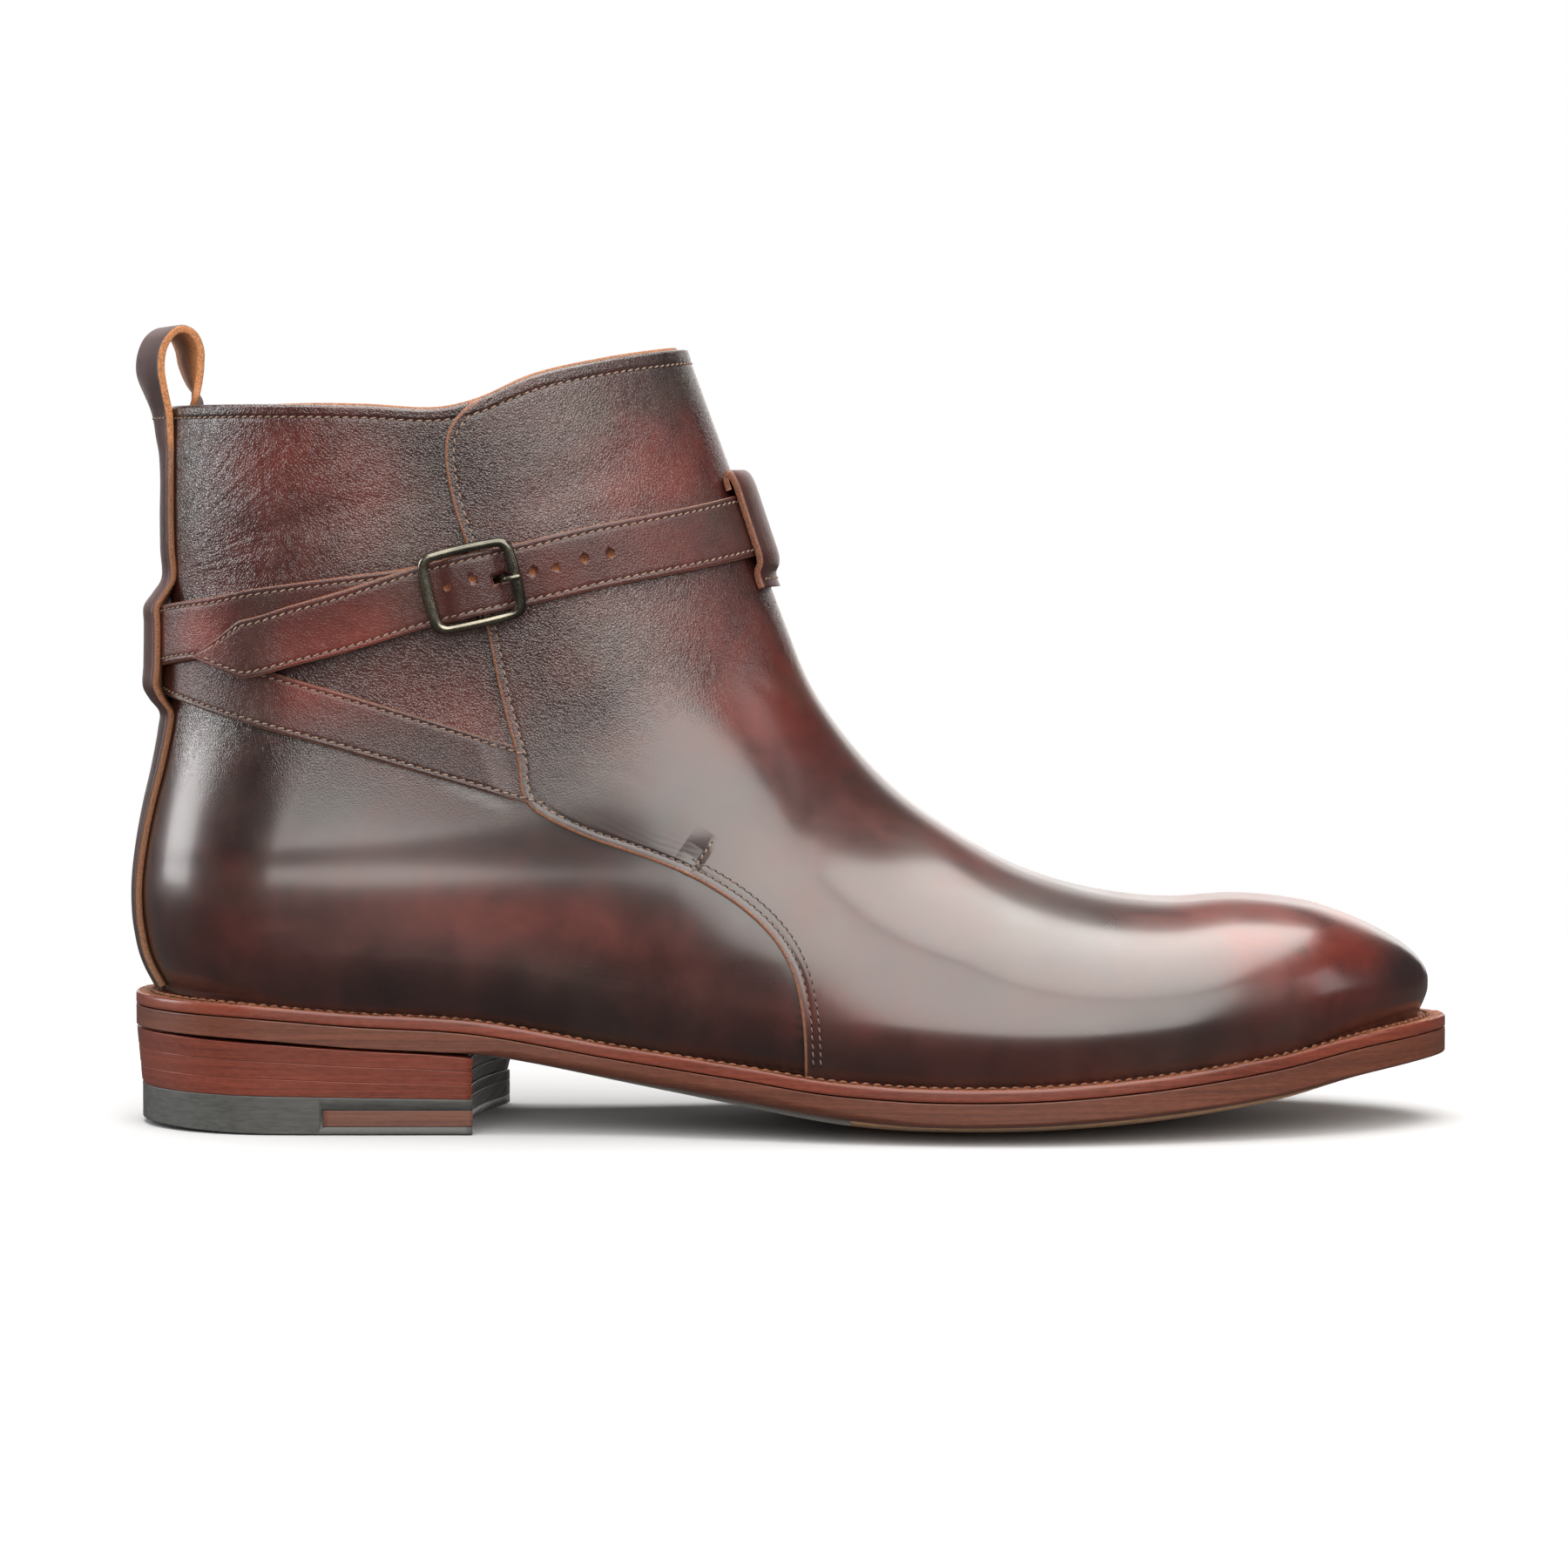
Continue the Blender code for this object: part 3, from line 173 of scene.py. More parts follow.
# Straps: turn is 0 at the heel, +1 at the instep by the outer side and -1 by the inner side; then the middle height
# as a share of FRONT_HEIGHT, the gap under the strap and the half-width, as shares of STRAP_WIDTH.
STRAP_LONG = [
    (0.498, 0.466, 0.022, 0.50), (0.437, 0.494, 0.022, 0.50), (0.326, 0.537, 0.022, 0.50),
    (0.148, 0.582, 0.022, 0.50), (0.000, 0.600, 0.022, 0.50), (-0.150, 0.613, 0.022, 0.50),
    (-0.300, 0.633, 0.022, 0.50), (-0.420, 0.655, 0.022, 0.50), (-0.500, 0.673, 0.110, 0.50),
    (-0.650, 0.710, 0.110, 0.50), (-0.800, 0.745, 0.110, 0.50), (-0.900, 0.762, 0.110, 0.50),
    (-1.000, 0.770, 0.110, 0.50), (-1.100, 0.768, 0.110, 0.50), (-1.330, 0.737, 0.110, 0.50),
    (-1.425, 0.715, 0.118, 0.50), (-1.444, 0.711, 0.150, 0.50), (-1.460, 0.708, 0.270, 0.50),
    (-1.478, 0.704, 0.325, 0.50), (-1.490, 0.701, 0.325, 0.50), (-1.502, 0.697, 0.310, 0.50),
    (-1.522, 0.691, 0.200, 0.50), (-1.545, 0.684, 0.175, 0.50), (-1.630, 0.654, 0.190, 0.50),
    (-1.680, 0.638, 0.240, 0.50), (-1.720, 0.624, 0.330, 0.49), (-1.765, 0.614, 0.330, 0.34),
    (-1.800, 0.609, 0.330, 0.16), (-1.815, 0.607, 0.330, 0.03),
]
STRAP_CHAPE = [
    (-0.498, 0.466, 0.022, 0.50), (-0.437, 0.494, 0.022, 0.50), (-0.326, 0.532, 0.030, 0.50),
    (-0.260, 0.560, 0.175, 0.50), (-0.148, 0.600, 0.175, 0.50), (0.000, 0.622, 0.175, 0.50),
    (0.100, 0.634, 0.175, 0.50), (0.210, 0.646, 0.175, 0.50), (0.260, 0.655, 0.120, 0.50),
    (0.317, 0.663, 0.030, 0.50), (0.400, 0.675, 0.022, 0.50), (0.455, 0.684, 0.022, 0.50),
    (0.511, 0.700, 0.022, 0.50),
]

# Keeper over the strap at the front, from its sewn end and round into its loop's end: share of FRONT_HEIGHT, distance
# out as a share of the strap that passes under it.
KEEPER = [
    (0.6890, 0.00), (0.7030, 0.00), (0.7105, 0.22), (0.7180, 0.78), (0.7270, 1.02), (0.7500, 1.06), (0.7800, 1.08),
    (0.8050, 1.12), (0.8200, 1.10), (0.8300, 0.92), (0.8340, 0.60), (0.8325, 0.25), (0.8260, 0.05), (0.8150, 0.00),
]

# Backstay up to the pull loop: share of FRONT_HEIGHT, lift as a share of the two straps that pass under it.
BACKSTAY = [
    (0.1806, 0.00), (0.1933, 0.00), (0.2078, 0.00), (0.2244, 0.00), (0.2444, 0.00), (0.2722, 0.00), (0.3111, 0.00),
    (0.3556, 0.00), (0.4056, 0.00), (0.4611, 0.00), (0.5111, 0.00), (0.5306, 0.02), (0.5472, 0.60), (0.5639, 1.00),
    (0.5917, 1.00), (0.6194, 1.00), (0.6472, 1.00), (0.6694, 1.00), (0.6872, 0.49), (0.7056, 0.00), (0.7444, 0.00),
    (0.7889, 0.00), (0.8333, 0.00),
]

# Pull loop, from the outer side of the back up and over to the inside: forward shift from the back of the collar as a
# share of BACKSTAY_WIDTH, height as a share of FRONT_HEIGHT, then shares of LOOP_TWIST and of the curve of the heel.
LOOP = [
    (-0.086, 0.8667, 0.15, 1.00), (-0.129, 0.8900, 0.37, 0.95), (-0.171, 0.9167, 0.60, 0.80),
    (-0.233, 0.9444, 0.85, 0.50), (-0.267, 0.9722, 1.00, 0.20), (-0.238, 0.9978, 1.00, 0.10),
    (-0.143, 1.0178, 1.00, 0.05), (-0.010, 1.0267, 1.00, 0.05), (0.114, 1.0211, 1.00, 0.05),
    (0.195, 1.0033, 1.00, 0.05), (0.200, 0.9800, 0.90, 0.20), (0.181, 0.9567, 0.60, 0.60),
    (0.171, 0.9378, 0.20, 1.00),
]

# Heights where the loop's inner end lies along the lining, as shares of FRONT_HEIGHT, from the top down. Then the same
# share for the rows of stitches across the loop's foot and across the keeper's lower end.
LOOP_END = (0.9194, 0.8944, 0.8667, 0.8389)
LOOP_ROW = 0.9140
KEEPER_ROWS = (0.7000, 0.7085)

# The prong, from the centre bar to the end bar that it rests on: distance along as a share of BUCKLE_WINDOW_LENGTH,
# height over the shaft as a share of the height of the buckle's face.
PRONG = [
    (0.067, 0.443), (0.186, 0.386), (0.291, 0.400), (0.360, 0.543), (0.413, 0.800), (0.459, 1.071),
]
PRONG_REST = (0.535, 0.669)
PRONG_HOLE = (0.279, 0.488)


def smooth(rows, per=10):
    """A smooth curve through the rows of a table."""
    p = np.array(rows, float)
    d = np.concatenate([[0.0], np.cumsum(np.sqrt(np.linalg.norm(np.diff(p, axis=0), axis=1)))])
    m = np.gradient(p, d, axis=0)
    t = np.concatenate([np.linspace(a, b, per, endpoint=False) for a, b in zip(d[:-1], d[1:])] + [d[-1:]])
    i = np.clip(np.searchsorted(d, t, side="right") - 1, 0, len(d) - 2)
    h = (d[i + 1] - d[i])[:, None]
    s = (t - d[i])[:, None] / h
    return (
        (2 * s**3 - 3 * s**2 + 1) * p[i]
        + (s**3 - 2 * s**2 + s) * h * m[i]
        + (3 * s**2 - 2 * s**3) * p[i + 1]
        + (s**3 - s**2) * h * m[i + 1]
    )


def table(rows, x_size, *sizes):
    """The columns of a table as smooth functions of its first column, in metres."""
    c = smooth(rows)
    x = c[:, 0] * x_size
    return [lambda q, v=c[:, k + 1] * s: np.interp(q, x, v) for k, s in enumerate(sizes)]


def shifted(rows, distance):
    """A side outline moved sideways by a distance, as x, z and its share of length."""
    c = smooth(rows) * (SOLE_LENGTH, FRONT_HEIGHT)
    t = tangents(c)
    c = c + distance * np.stack([-t[:, 1], t[:, 0]], axis=1)
    a = run_length(c)
    return c[:, 0], c[:, 1], a / a[-1]


def step(x, low, high):
    t = np.clip((x - low) / (high - low), 0.0, 1.0)
    return t * t * (3 - 2 * t)


def dome(s, sharp):
    """0 at the edge, 1 inside, round in between."""
    r = 1 - np.clip(s, 0.0, 1.0)
    return (1 - sharp) * np.sqrt(np.clip(1 - r * r, 0.0, 1.0)) + sharp * (1 - r * r)


def normed(v):
    return v / np.linalg.norm(v, axis=-1, keepdims=True)


def tangents(c):
    return normed(np.gradient(c, axis=0))


def run_length(p):
    """Distance along a line of points, from its start."""
    return np.concatenate([[0.0], np.cumsum(np.linalg.norm(np.diff(p, axis=0), axis=1))])


def sampled(q, s, p):
    """The three columns of p, read at q along s."""
    return np.stack([np.interp(q, s, p[:, k]) for k in range(3)], axis=1)


def eased(count):
    """Shares from 0 to 1, closer together at both ends."""
    return (1 - np.cos(math.pi * (np.arange(count + 1) / count))) / 2


def round_end(t):
    """0 at a round end of the plan, 1 from t = 1 on."""
    return np.sqrt(np.clip(1 - np.clip(1 - t, 0, 1) ** 2, 0, 1))


def round_corner(k, r):
    """Rise of a rounded corner at a distance k in from its side."""
    return np.sqrt(np.clip(r * r - np.clip(r - k, 0, None) ** 2, 0, None))


plan_mid, plan_out, plan_in = table(PLAN, SOLE_LENGTH, BALL_WIDTH, BALL_WIDTH, BALL_WIDTH)
(welt_top,) = table(WELT_TOP, SOLE_LENGTH, FRONT_HEIGHT)
outsole_edge, outsole_belly = table(OUTSOLE, SOLE_LENGTH, FRONT_HEIGHT, FRONT_HEIGHT)
dome_share, dome_sharp = table(DOME, SOLE_LENGTH, 1.0, 1.0)
shaft_half, back_round, front_round, back_sharp, front_sharp = table(
    SHAFT, FRONT_HEIGHT, SHAFT_WIDTH, SHAFT_WIDTH, SHAFT_WIDTH, 1.0, 1.0
)
(collar_rise,) = table(COLLAR, 1.0, FRONT_HEIGHT)
front_x, front_z, front_s = shifted(FRONT, FLAP_STEP)
back_x, back_z, back_s = shifted(BACK, -(BACKSTAY_THICKNESS + GAP))
rings = smooth(RINGS)
NOSE = int(np.argmax(front_x[: len(front_x) // 3]))
TOP = slice(NOSE, None)


def ridge_z(x):
    return np.interp(x, front_x[TOP][::-1], front_z[TOP][::-1])


def ridge_x(z):
    return np.interp(z, front_z[TOP], front_x[TOP])


def under_z(x):
    """The feather edge, and the underside of the toe ahead of it."""
    low = welt_top(x) + GAP
    nose = np.interp(x, front_x[: NOSE + 1], front_z[: NOSE + 1])
    return np.where(x < front_x[0], low, nose)


def heel_x(z):
    return np.interp(z, back_z, back_x)


def shelf(x):
    return WELT_SHELF_HEEL + (WELT_SHELF_FOREFOOT - WELT_SHELF_HEEL) * step(x / SOLE_LENGTH, 0.357, 0.584)


def half_plan(x, side):
    return np.where(side < 0, plan_out(x), plan_in(x))


# Gentle swells and hollows of the worn-in leather on both sides, which the light shows up: x and z as shares of
# SOLE_LENGTH and FRONT_HEIGHT, half-length and half-height as the same shares, tilt in degrees, height in metres.
SWELLS = [
    (0.165, 0.250, 0.190, 0.125, -4, 0.00210), (0.150, 0.560, 0.170, 0.120, -8, -0.00180),
    (0.200, 0.325, 0.240, 0.045, 0, 0.00050), (0.370, 0.400, 0.090, 0.130, -20, 0.00140),
    (0.360, 0.710, 0.080, 0.090, 10, -0.00100), (0.335, 0.750, 0.080, 0.050, 10, 0.00080),
    (0.170, 0.705, 0.070, 0.050, 15, 0.00080),
]


def swell(x, z):
    total = 0.0
    for px, pz, a, b, tilt, height in SWELLS:
        c, s = math.cos(math.radians(tilt)), math.sin(math.radians(tilt))
        dx, dz = x - px * SOLE_LENGTH, z - pz * FRONT_HEIGHT
        u = (dx * c + dz * s) / (a * SOLE_LENGTH)
        v = (dz * c - dx * s) / (b * FRONT_HEIGHT)
        total = total + height * np.exp(-(u * u + v * v))
    return total


def side_y(x, z, side, nose=None):
    """Where the outer face of the upper is, at a place in side view. side is -1 outside, +1 inside."""
    nose = front_x[NOSE] if nose is None else nose
    low = half_plan(x, side) - shelf(x) + TUCK
    low = low * round_end((nose - x) / TOE_ROUND)
    high = step(z / FRONT_HEIGHT, 0.222, 0.583)
    width = low * (1 - high) + shaft_half(z) * high
    rise = np.clip(1 - (z - under_z(x)) / TUCK_HEIGHT, 0, 1)
    width = width * (1 - TUCK / (low + TUCK) * rise**2)
    depth = dome_share(x) * np.maximum(ridge_z(x) - under_z(x), 1e-5)
    far = step(z / FRONT_HEIGHT, 0.333, 0.583)
    s = (1 - far) * (ridge_z(x) - z) / depth + far * (ridge_x(z) - x) / front_round(z)
    sharp = (1 - far) * dome_sharp(x) + far * front_sharp(z)
    front = dome(s, sharp)
    back = dome((x - heel_x(z)) / back_round(z), back_sharp(z))
    return plan_mid(x) + side * (width + swell(x, z)) * front * back


def upper_grid(half, levels):
    """Points on the outer face, one ring per level: back, outer side, front, inner side."""
    g = eased(half)
    out = []
    for v in levels:
        f = np.interp(v, np.linspace(0, 1, len(rings)), rings[:, 0])
        b = np.interp(v, np.linspace(0, 1, len(rings)), rings[:, 1])
        fx, fz = np.interp(f, front_s, front_x), np.interp(f, front_s, front_z)
        bx, bz = np.interp(b, back_s, back_x), np.interp(b, back_s, back_z)
        x = bx + (fx - bx) * g
        z = bz + (fz - bz) * g
        x0 = back_x[0] + (front_x[0] - back_x[0]) * g
        sag = under_z(x0) - (back_z[0] + (front_z[0] - back_z[0]) * g)
        z = z + sag * (1 - b) ** 3 + collar_rise(g) * max(0.0, (b - 0.5) / 0.5) ** 2
        nose = fx if f < front_s[NOSE] else front_x[NOSE]
        y_out = side_y(x, z, -1.0, nose)
        y_in = side_y(x, z, 1.0, nose)
        y_out[0] = y_in[0] = plan_mid(bx)
        y_out[-1] = y_in[-1] = plan_mid(fx)
        ring = [(x[i], y_out[i], z[i]) for i in range(half + 1)]
        ring += [(x[i], y_in[i], z[i]) for i in range(half - 1, 0, -1)]
        out.append(ring)
    return np.array(out)


def unit(n):
    """Rows of normals at length 1. Where one has no length, the nearest pair along the row stands in."""
    length = np.linalg.norm(n, axis=2)
    lost = length < 1e-14
    n = n / np.where(lost, 1.0, length)[..., None]
    for k in range(1, 9):
        beside = np.roll(n, k, axis=1) + np.roll(n, -k, axis=1)
        size = np.linalg.norm(beside, axis=2)
        mend = lost & (size > 1e-3)
        n[mend] = beside[mend] / size[mend][:, None]
        lost &= ~mend
    return n


def grid_normals(p):
    along = np.roll(p, -1, axis=1) - np.roll(p, 1, axis=1)
    up = np.gradient(p, axis=0)
    return unit(np.cross(along, up))


def turn_point(turn, z):
    """A point on the shaft at a turn round it and a height."""
    t = np.mod(turn, 2.0)
    u = np.where(t <= 1, t, 2 - t)
    side = np.where(t <= 1, -1.0, 1.0)
    g = (1 - np.cos(math.pi * u)) / 2
    x = heel_x(z) + (ridge_x(z) - heel_x(z)) * g
    return np.stack([x, side_y(x, z, side), z], axis=-1)


def turn_normal(turn, z):
    e = 0.012
    h = FRONT_HEIGHT / 150
    a = turn_point(turn + e, z) - turn_point(turn - e, z)
    b = turn_point(turn, z + h) - turn_point(turn, z - h)
    return normed(np.cross(a, b))


def arc_turns(z, middle, reach):
    """Turns near a middle turn, with the distance along the shaft from it."""
    t = np.linspace(middle - reach, middle + reach, 161)
    p = turn_point(t, np.full_like(t, z))
    s = run_length(p)
    return s - s[len(s) // 2], t


def buckle_frame():
    """Centre of the buckle on the outer side, and its directions along the strap, across it and outward."""
    rows = smooth(STRAP_LONG, 12)
    height = lambda turn: np.interp(turn, rows[::-1, 0], rows[::-1, 1]) * FRONT_HEIGHT
    turn = 2 + BUCKLE_TURN
    z = height(BUCKLE_TURN)
    c = turn_point(turn, z)
    n = turn_normal(turn, z)
    e = 0.03
    along = turn_point(turn + e, height(BUCKLE_TURN + e)) - turn_point(turn - e, height(BUCKLE_TURN - e))
    along -= n * np.dot(along, n)
    along /= np.linalg.norm(along)
    across = np.cross(n, along)
    across *= np.sign(across[2])
    return c, along, across, n


def local(axes, t, b, o):
    c, along, across, n = axes
    return tuple(c + along * t + across * b + n * o)


def rounded_rectangle(length, height, corner, count=4):
    out = []
    for cx, cy, start in ((1, 1, 0), (-1, 1, 90), (-1, -1, 180), (1, -1, 270)):
        for k in range(count + 1):
            a = math.radians(start + 90 * k / count)
            out.append((cx * (length / 2 - corner) + corner * math.cos(a),
                        cy * (height / 2 - corner) + corner * math.sin(a)))
    return out


def plan_half(x, side, inset, start, end):
    """Half-width of a sole layer, with both ends rounded."""
    w = half_plan(x, side) - inset
    return w * round_end((x - start) / HEEL_ROUND) * round_end((end - x) / TOE_ROUND)


def breast(y):
    """The front face of the heel: hollow in the middle, further forward on the inner side."""
    t = y / (HEEL_SEAT_WIDTH / 2)
    return BREAST_X + BREAST_SKEW * (t + 1) / 2 - BREAST_HOLLOW * np.clip(1 - t * t, 0, 1)


def outsole_top(x):
    return welt_top(x) - WELT_THICKNESS - GAP


def outsole_bottom(x, f=1.0):
    hang = np.clip((f - 0.30) / 0.70, 0, 1) ** 2
    return np.maximum(outsole_top(x) - outsole_edge(x) - outsole_belly(x) * (1 - hang), 0.0)


def heel_top(x):
    """A straight seat for the heel, just under the outsole."""
    a, b = outsole_bottom(0.0), outsole_bottom(BREAST_X)
    bow = max(a + (b - a) * k / 8 - outsole_bottom(BREAST_X * k / 8) for k in range(9))
    return np.minimum(a + (b - a) * x / BREAST_X - bow, outsole_bottom(x + SOLE_LENGTH / 150) - GAP) - GAP


def floor_line(x):
    return HEEL_ROLL * np.clip(1 - x / HEEL_ROLL_LENGTH, 0, 1) ** 2


def heel_level(k):
    """Joints of the heel from the floor up: 0 is the top lift's upper face, 3 the top of the stack."""
    low = lambda x: TOP_LIFT_THICKNESS + TOP_LIFT_WEDGE * (1 - x / BREAST_X)
    return lambda x: low(x) + (heel_top(x) - low(x)) * k / 3


# The CAD frame lies this far from the origin of the tables above.
SHIFT = np.array([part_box("outsole")[0].x, 0.00073, 0.0])

# Fine detail: rounding of cut edges, distance of a stitch row from an edge, stitch pitch and length, and how far the
# stitches of the collar and of the front piece's two rows stand in from their edges.
EDGE_ROUND = 0.00055
STITCH_INSET = 0.0013
STITCH_PITCH = 0.00205
STITCH_LENGTH = 0.00165
COLLAR_ROW = 0.0024
FLAP_ROWS = (0.0021, 0.0038)
# Height where the front piece's first row turns dark, as a share of FRONT_HEIGHT, place where its second row starts, as
# a share of SOLE_LENGTH, and how far over the welt both end.
DARK_BELOW = 0.40
SECOND_ROW_START = 0.4265
OVER_WELT = 0.002
# Share of the rings' levels that one metre down from the collar takes.
LEVEL_RATE = 2.75

pieces = bpy.data.collections.new("dressed boot")
bpy.context.scene.collection.children.link(pieces)


# Meshes.
def piece(name, points, faces, nodes=(), materials=(), index=None, marks=None):
    """A mesh in the frame's place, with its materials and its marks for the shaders."""
    mesh = bpy.data.meshes.new(name)
    places = (np.asarray(points, float).reshape(-1, 3) + SHIFT).tolist()
    mesh.from_pydata(places, [], [tuple(map(int, f)) for f in faces])
    for mat in materials:
        mesh.materials.append(mat)
    if index is not None:
        mesh.polygons.foreach_set("material_index", np.asarray(index, np.int32))
    mesh.polygons.foreach_set("use_smooth", np.ones(len(mesh.polygons), bool))
    for key, values in (marks or {}).items():
        attribute = mesh.attributes.new(key, "FLOAT", "POINT")
        attribute.data.foreach_set("value", np.asarray(values, np.float32).ravel())
    mesh.update()
    ob = bpy.data.objects.new(name, mesh)
    pieces.objects.link(ob)
    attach(ob, "root")
    if nodes:
        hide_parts(*nodes)
    return ob


def grid_faces(m, w, closed=False, start=0, flip=False):
    i = np.arange(m - 1)[:, None]
    c = np.arange(w if closed else w - 1)[None, :]
    d = (c + 1) % w
    f = np.stack([i * w + c, i * w + d, (i + 1) * w + d, (i + 1) * w + c], axis=-1).reshape(-1, 4) + start
    return f[:, ::-1] if flip else f


def loft_faces(n, k, loop=False):
    """Faces between n rings of k points, with the ends closed by one face each."""
    f = [tuple(q) for q in grid_faces(n, k, True)]
    if loop:
        a = np.arange(k)
        b = (a + 1) % k
        f += [tuple(q) for q in np.stack([(n - 1) * k + a, (n - 1) * k + b, b, a], axis=-1)]
    else:
        f += [tuple(range(k))[::-1], tuple(range((n - 1) * k, n * k))]
    return f


def band_profile(half, thickness, middle=9, stitched=True):
    """Across a leather band: place across, height over its underside, and how much it is cut edge."""
    k = min(1.0, half / 0.0042)
    e = np.array([0.0, 0.10, 0.24, 0.42, 0.65, 0.95, 1.15, 1.3, 1.45, 1.7, 2.2, 2.8]) * k / 1000
    r = EDGE_ROUND * k
    top = thickness - r + round_corner(e, r)
    if stitched:
        top = top - 0.00016 * k * np.exp(-(((e - STITCH_INSET * k) / (0.00034 * k)) ** 2))
    cut = np.clip(1 - e / (0.00030 * k), 0, 1)
    inner = np.linspace(-half + e[-1], half - e[-1], middle)[1:-1]
    foot = half - 0.00012 * k
    s = np.concatenate([[-foot, -half, -half], -half + e[1:], inner, (half - e[1:])[::-1], [half, half, foot]])
    side = [0.0, 0.00018, (thickness - r) * 0.98]
    h = np.concatenate([side, top[1:], np.full(len(inner), thickness), top[1:][::-1], side[::-1]])
    c = np.concatenate([[1, 1, 1], cut[1:], np.zeros(len(inner)), cut[1:][::-1], [1, 1, 1]])
    return s, h, c


# The pointed end of the long strap: turns of its tip and of its shoulders.
TIP = (-1.812, -1.742)
# Both straps run on under the front piece, by a turn further than their solids. They are pared thin there: turns where
# that starts, where it is full and where it ends, the largest gap under the strap, and the share that is pared away.
RUN_ON = 0.026
PARED = (0.487, 0.503, 0.54)
PARED_GAP = 0.0006
PARED_SHARE = 0.66


def strap_path(rows, steps):
    c = smooth(rows, 12)
    more = c[0] + (c[0] - c[1]) / abs(c[0, 0] - c[1, 0]) * RUN_ON
    more[2] = c[0, 2]
    c = np.concatenate([more[None], c])
    spread = np.cumsum(np.concatenate([[0.0], np.abs(np.diff(c[:, 0])) + 0.0035]))
    t = np.interp(np.linspace(0, spread[-1], steps), spread, np.arange(len(c)))
    a, z, g, h = (np.interp(t, np.arange(len(c)), c[:, k]) for k in range(4))
    return a, z * FRONT_HEIGHT, np.maximum(g, 0.02) * STRAP_WIDTH, h * STRAP_WIDTH


def strap_rows(rows, steps):
    """Sections of a strap, and the two lines that its stitches follow."""
    points, cuts, low, high = [], [], [], []
    tip, shoulder = TIP
    for a, zc, g, h in zip(*strap_path(rows, steps)):
        if rows[-1][0] < -1.6:
            h = STRAP_WIDTH / 2 * min(1.0, 0.03 + 0.97 * max(0.0, (a - tip) / (shoulder - tip)))
        s, up, cut = band_profile(h, STRAP_THICKNESS)
        # The ends that go in under the front piece are pared thin.
        pared = float(step(abs(a), *PARED[:2])) * (abs(a) < PARED[2]) * (g < PARED_GAP)
        thin = 1 - PARED_SHARE * pared
        up = up * thin
        zz = zc + s
        p = turn_point(np.full_like(zz, a), zz)
        n = turn_normal(np.full_like(zz, a), zz)
        points.append(p + n * (g + up)[:, None])
        cuts.append(cut)
        if h > STITCH_INSET * 1.25:
            for out, sign in ((low, -1), (high, 1)):
                q = np.array([zc + sign * (h - STITCH_INSET)])
                m = turn_normal(np.array([a]), q)[0]
                out.append((turn_point(np.array([a]), q)[0] + m * (g + STRAP_THICKNESS - 0.0001), m))
    return np.array(points), np.array(cuts), low, high


def resample(line, pitch):
    """Points and normals every pitch along a line of (point, normal)."""
    p = np.array([a for a, _ in line])
    n = np.array([b for _, b in line])
    s = run_length(p)
    q = np.linspace(0, s[-1], max(2, int(s[-1] / pitch)) + 1)
    return sampled(q, s, p), normed(sampled(q, s, n))


def stitch_mesh(lines, width=0.00038, slant=0.22, pitch=STITCH_PITCH, length=STITCH_LENGTH, rise=0.00013):
    """One short thread per stitch: a thin spindle that dips into the leather at both ends."""
    sections = np.linspace(-1, 1, 7)
    ring = np.arange(6) * math.pi / 3
    points, faces, marks = [], [], []
    for line in lines:
        p, n = resample(line, pitch)
        for a, b, m in zip(p[:-1], p[1:], normed(n[:-1] + n[1:])):
            mid = (a + b) / 2
            t = (b - a) / max(np.linalg.norm(b - a), 1e-9)
            t = normed(t + np.cross(m, t) * slant)
            side = np.cross(m, t)
            start = len(points)
            for s in sections:
                r = width / 2 * (1 - 0.55 * abs(s) ** 3)
                c = mid + t * s * length / 2 + m * (rise * (1 - s * s) - 0.00008 * s * s)
                for angle in ring:
                    points.append(c + side * r * math.cos(angle) + m * r * 0.8 * math.sin(angle))
                    marks.append(s)
            faces += [tuple(start + v for v in f) for f in loft_faces(len(sections), len(ring))]
    return points, faces, marks


def hole_mesh(lines, radius=0.00024, pitch=STITCH_PITCH):
    """Small dark cones at the holes between the stitches: painted shade of the holes where the needle went through."""
    points, faces = [], []
    for line in lines:
        for c, m in zip(*resample(line, pitch)):
            t = normed(np.cross(m, [0.0, 0.3, 1.0]))
            b = np.cross(m, t)
            start = len(points)
            points.append(c + m * 0.00012)
            for k in range(6):
                a = k * math.pi / 3
                points.append(c + (t * math.cos(a) + b * math.sin(a)) * radius + m * 0.00002)
            faces += [(start, start + 1 + k, start + 1 + (k + 1) % 6) for k in range(6)]
    return points, faces


def sew(name, lines, thread, hole, slot, **how):
    points, faces, marks = stitch_mesh(lines, **how)
    holes, more = hole_mesh(lines, pitch=how.get("pitch", STITCH_PITCH))
    index = [0] * len(faces) + [1] * len(more)
    faces = faces + [tuple(len(points) + v for v in f) for f in more]
    return piece(name, points + holes, faces, (), (thread, hole), index, {"end": marks + [0.0] * len(holes)})


# Materials.
def node(tree, kind, inputs=None, **settings):
    n = tree.nodes.new(kind)
    for key, value in settings.items():
        setattr(n, key, value)
    for key, value in (inputs or {}).items():
        socket = n.inputs[key]
        if isinstance(value, bpy.types.NodeSocket):
            tree.links.new(value, socket)
        else:
            socket.default_value = value
    return n


def maths(tree, kind, a, b=0.0, c=0.0, clamp=False):
    return node(tree, "ShaderNodeMath", {0: a, 1: b, 2: c}, operation=kind, use_clamp=clamp).outputs[0]


def noise(tree, where, scale, detail=4.0, rough=0.55, bend=0.0):
    return node(tree, "ShaderNodeTexNoise",
                {"Vector": where, "Scale": scale, "Detail": detail, "Roughness": rough, "Distortion": bend}).outputs[0]


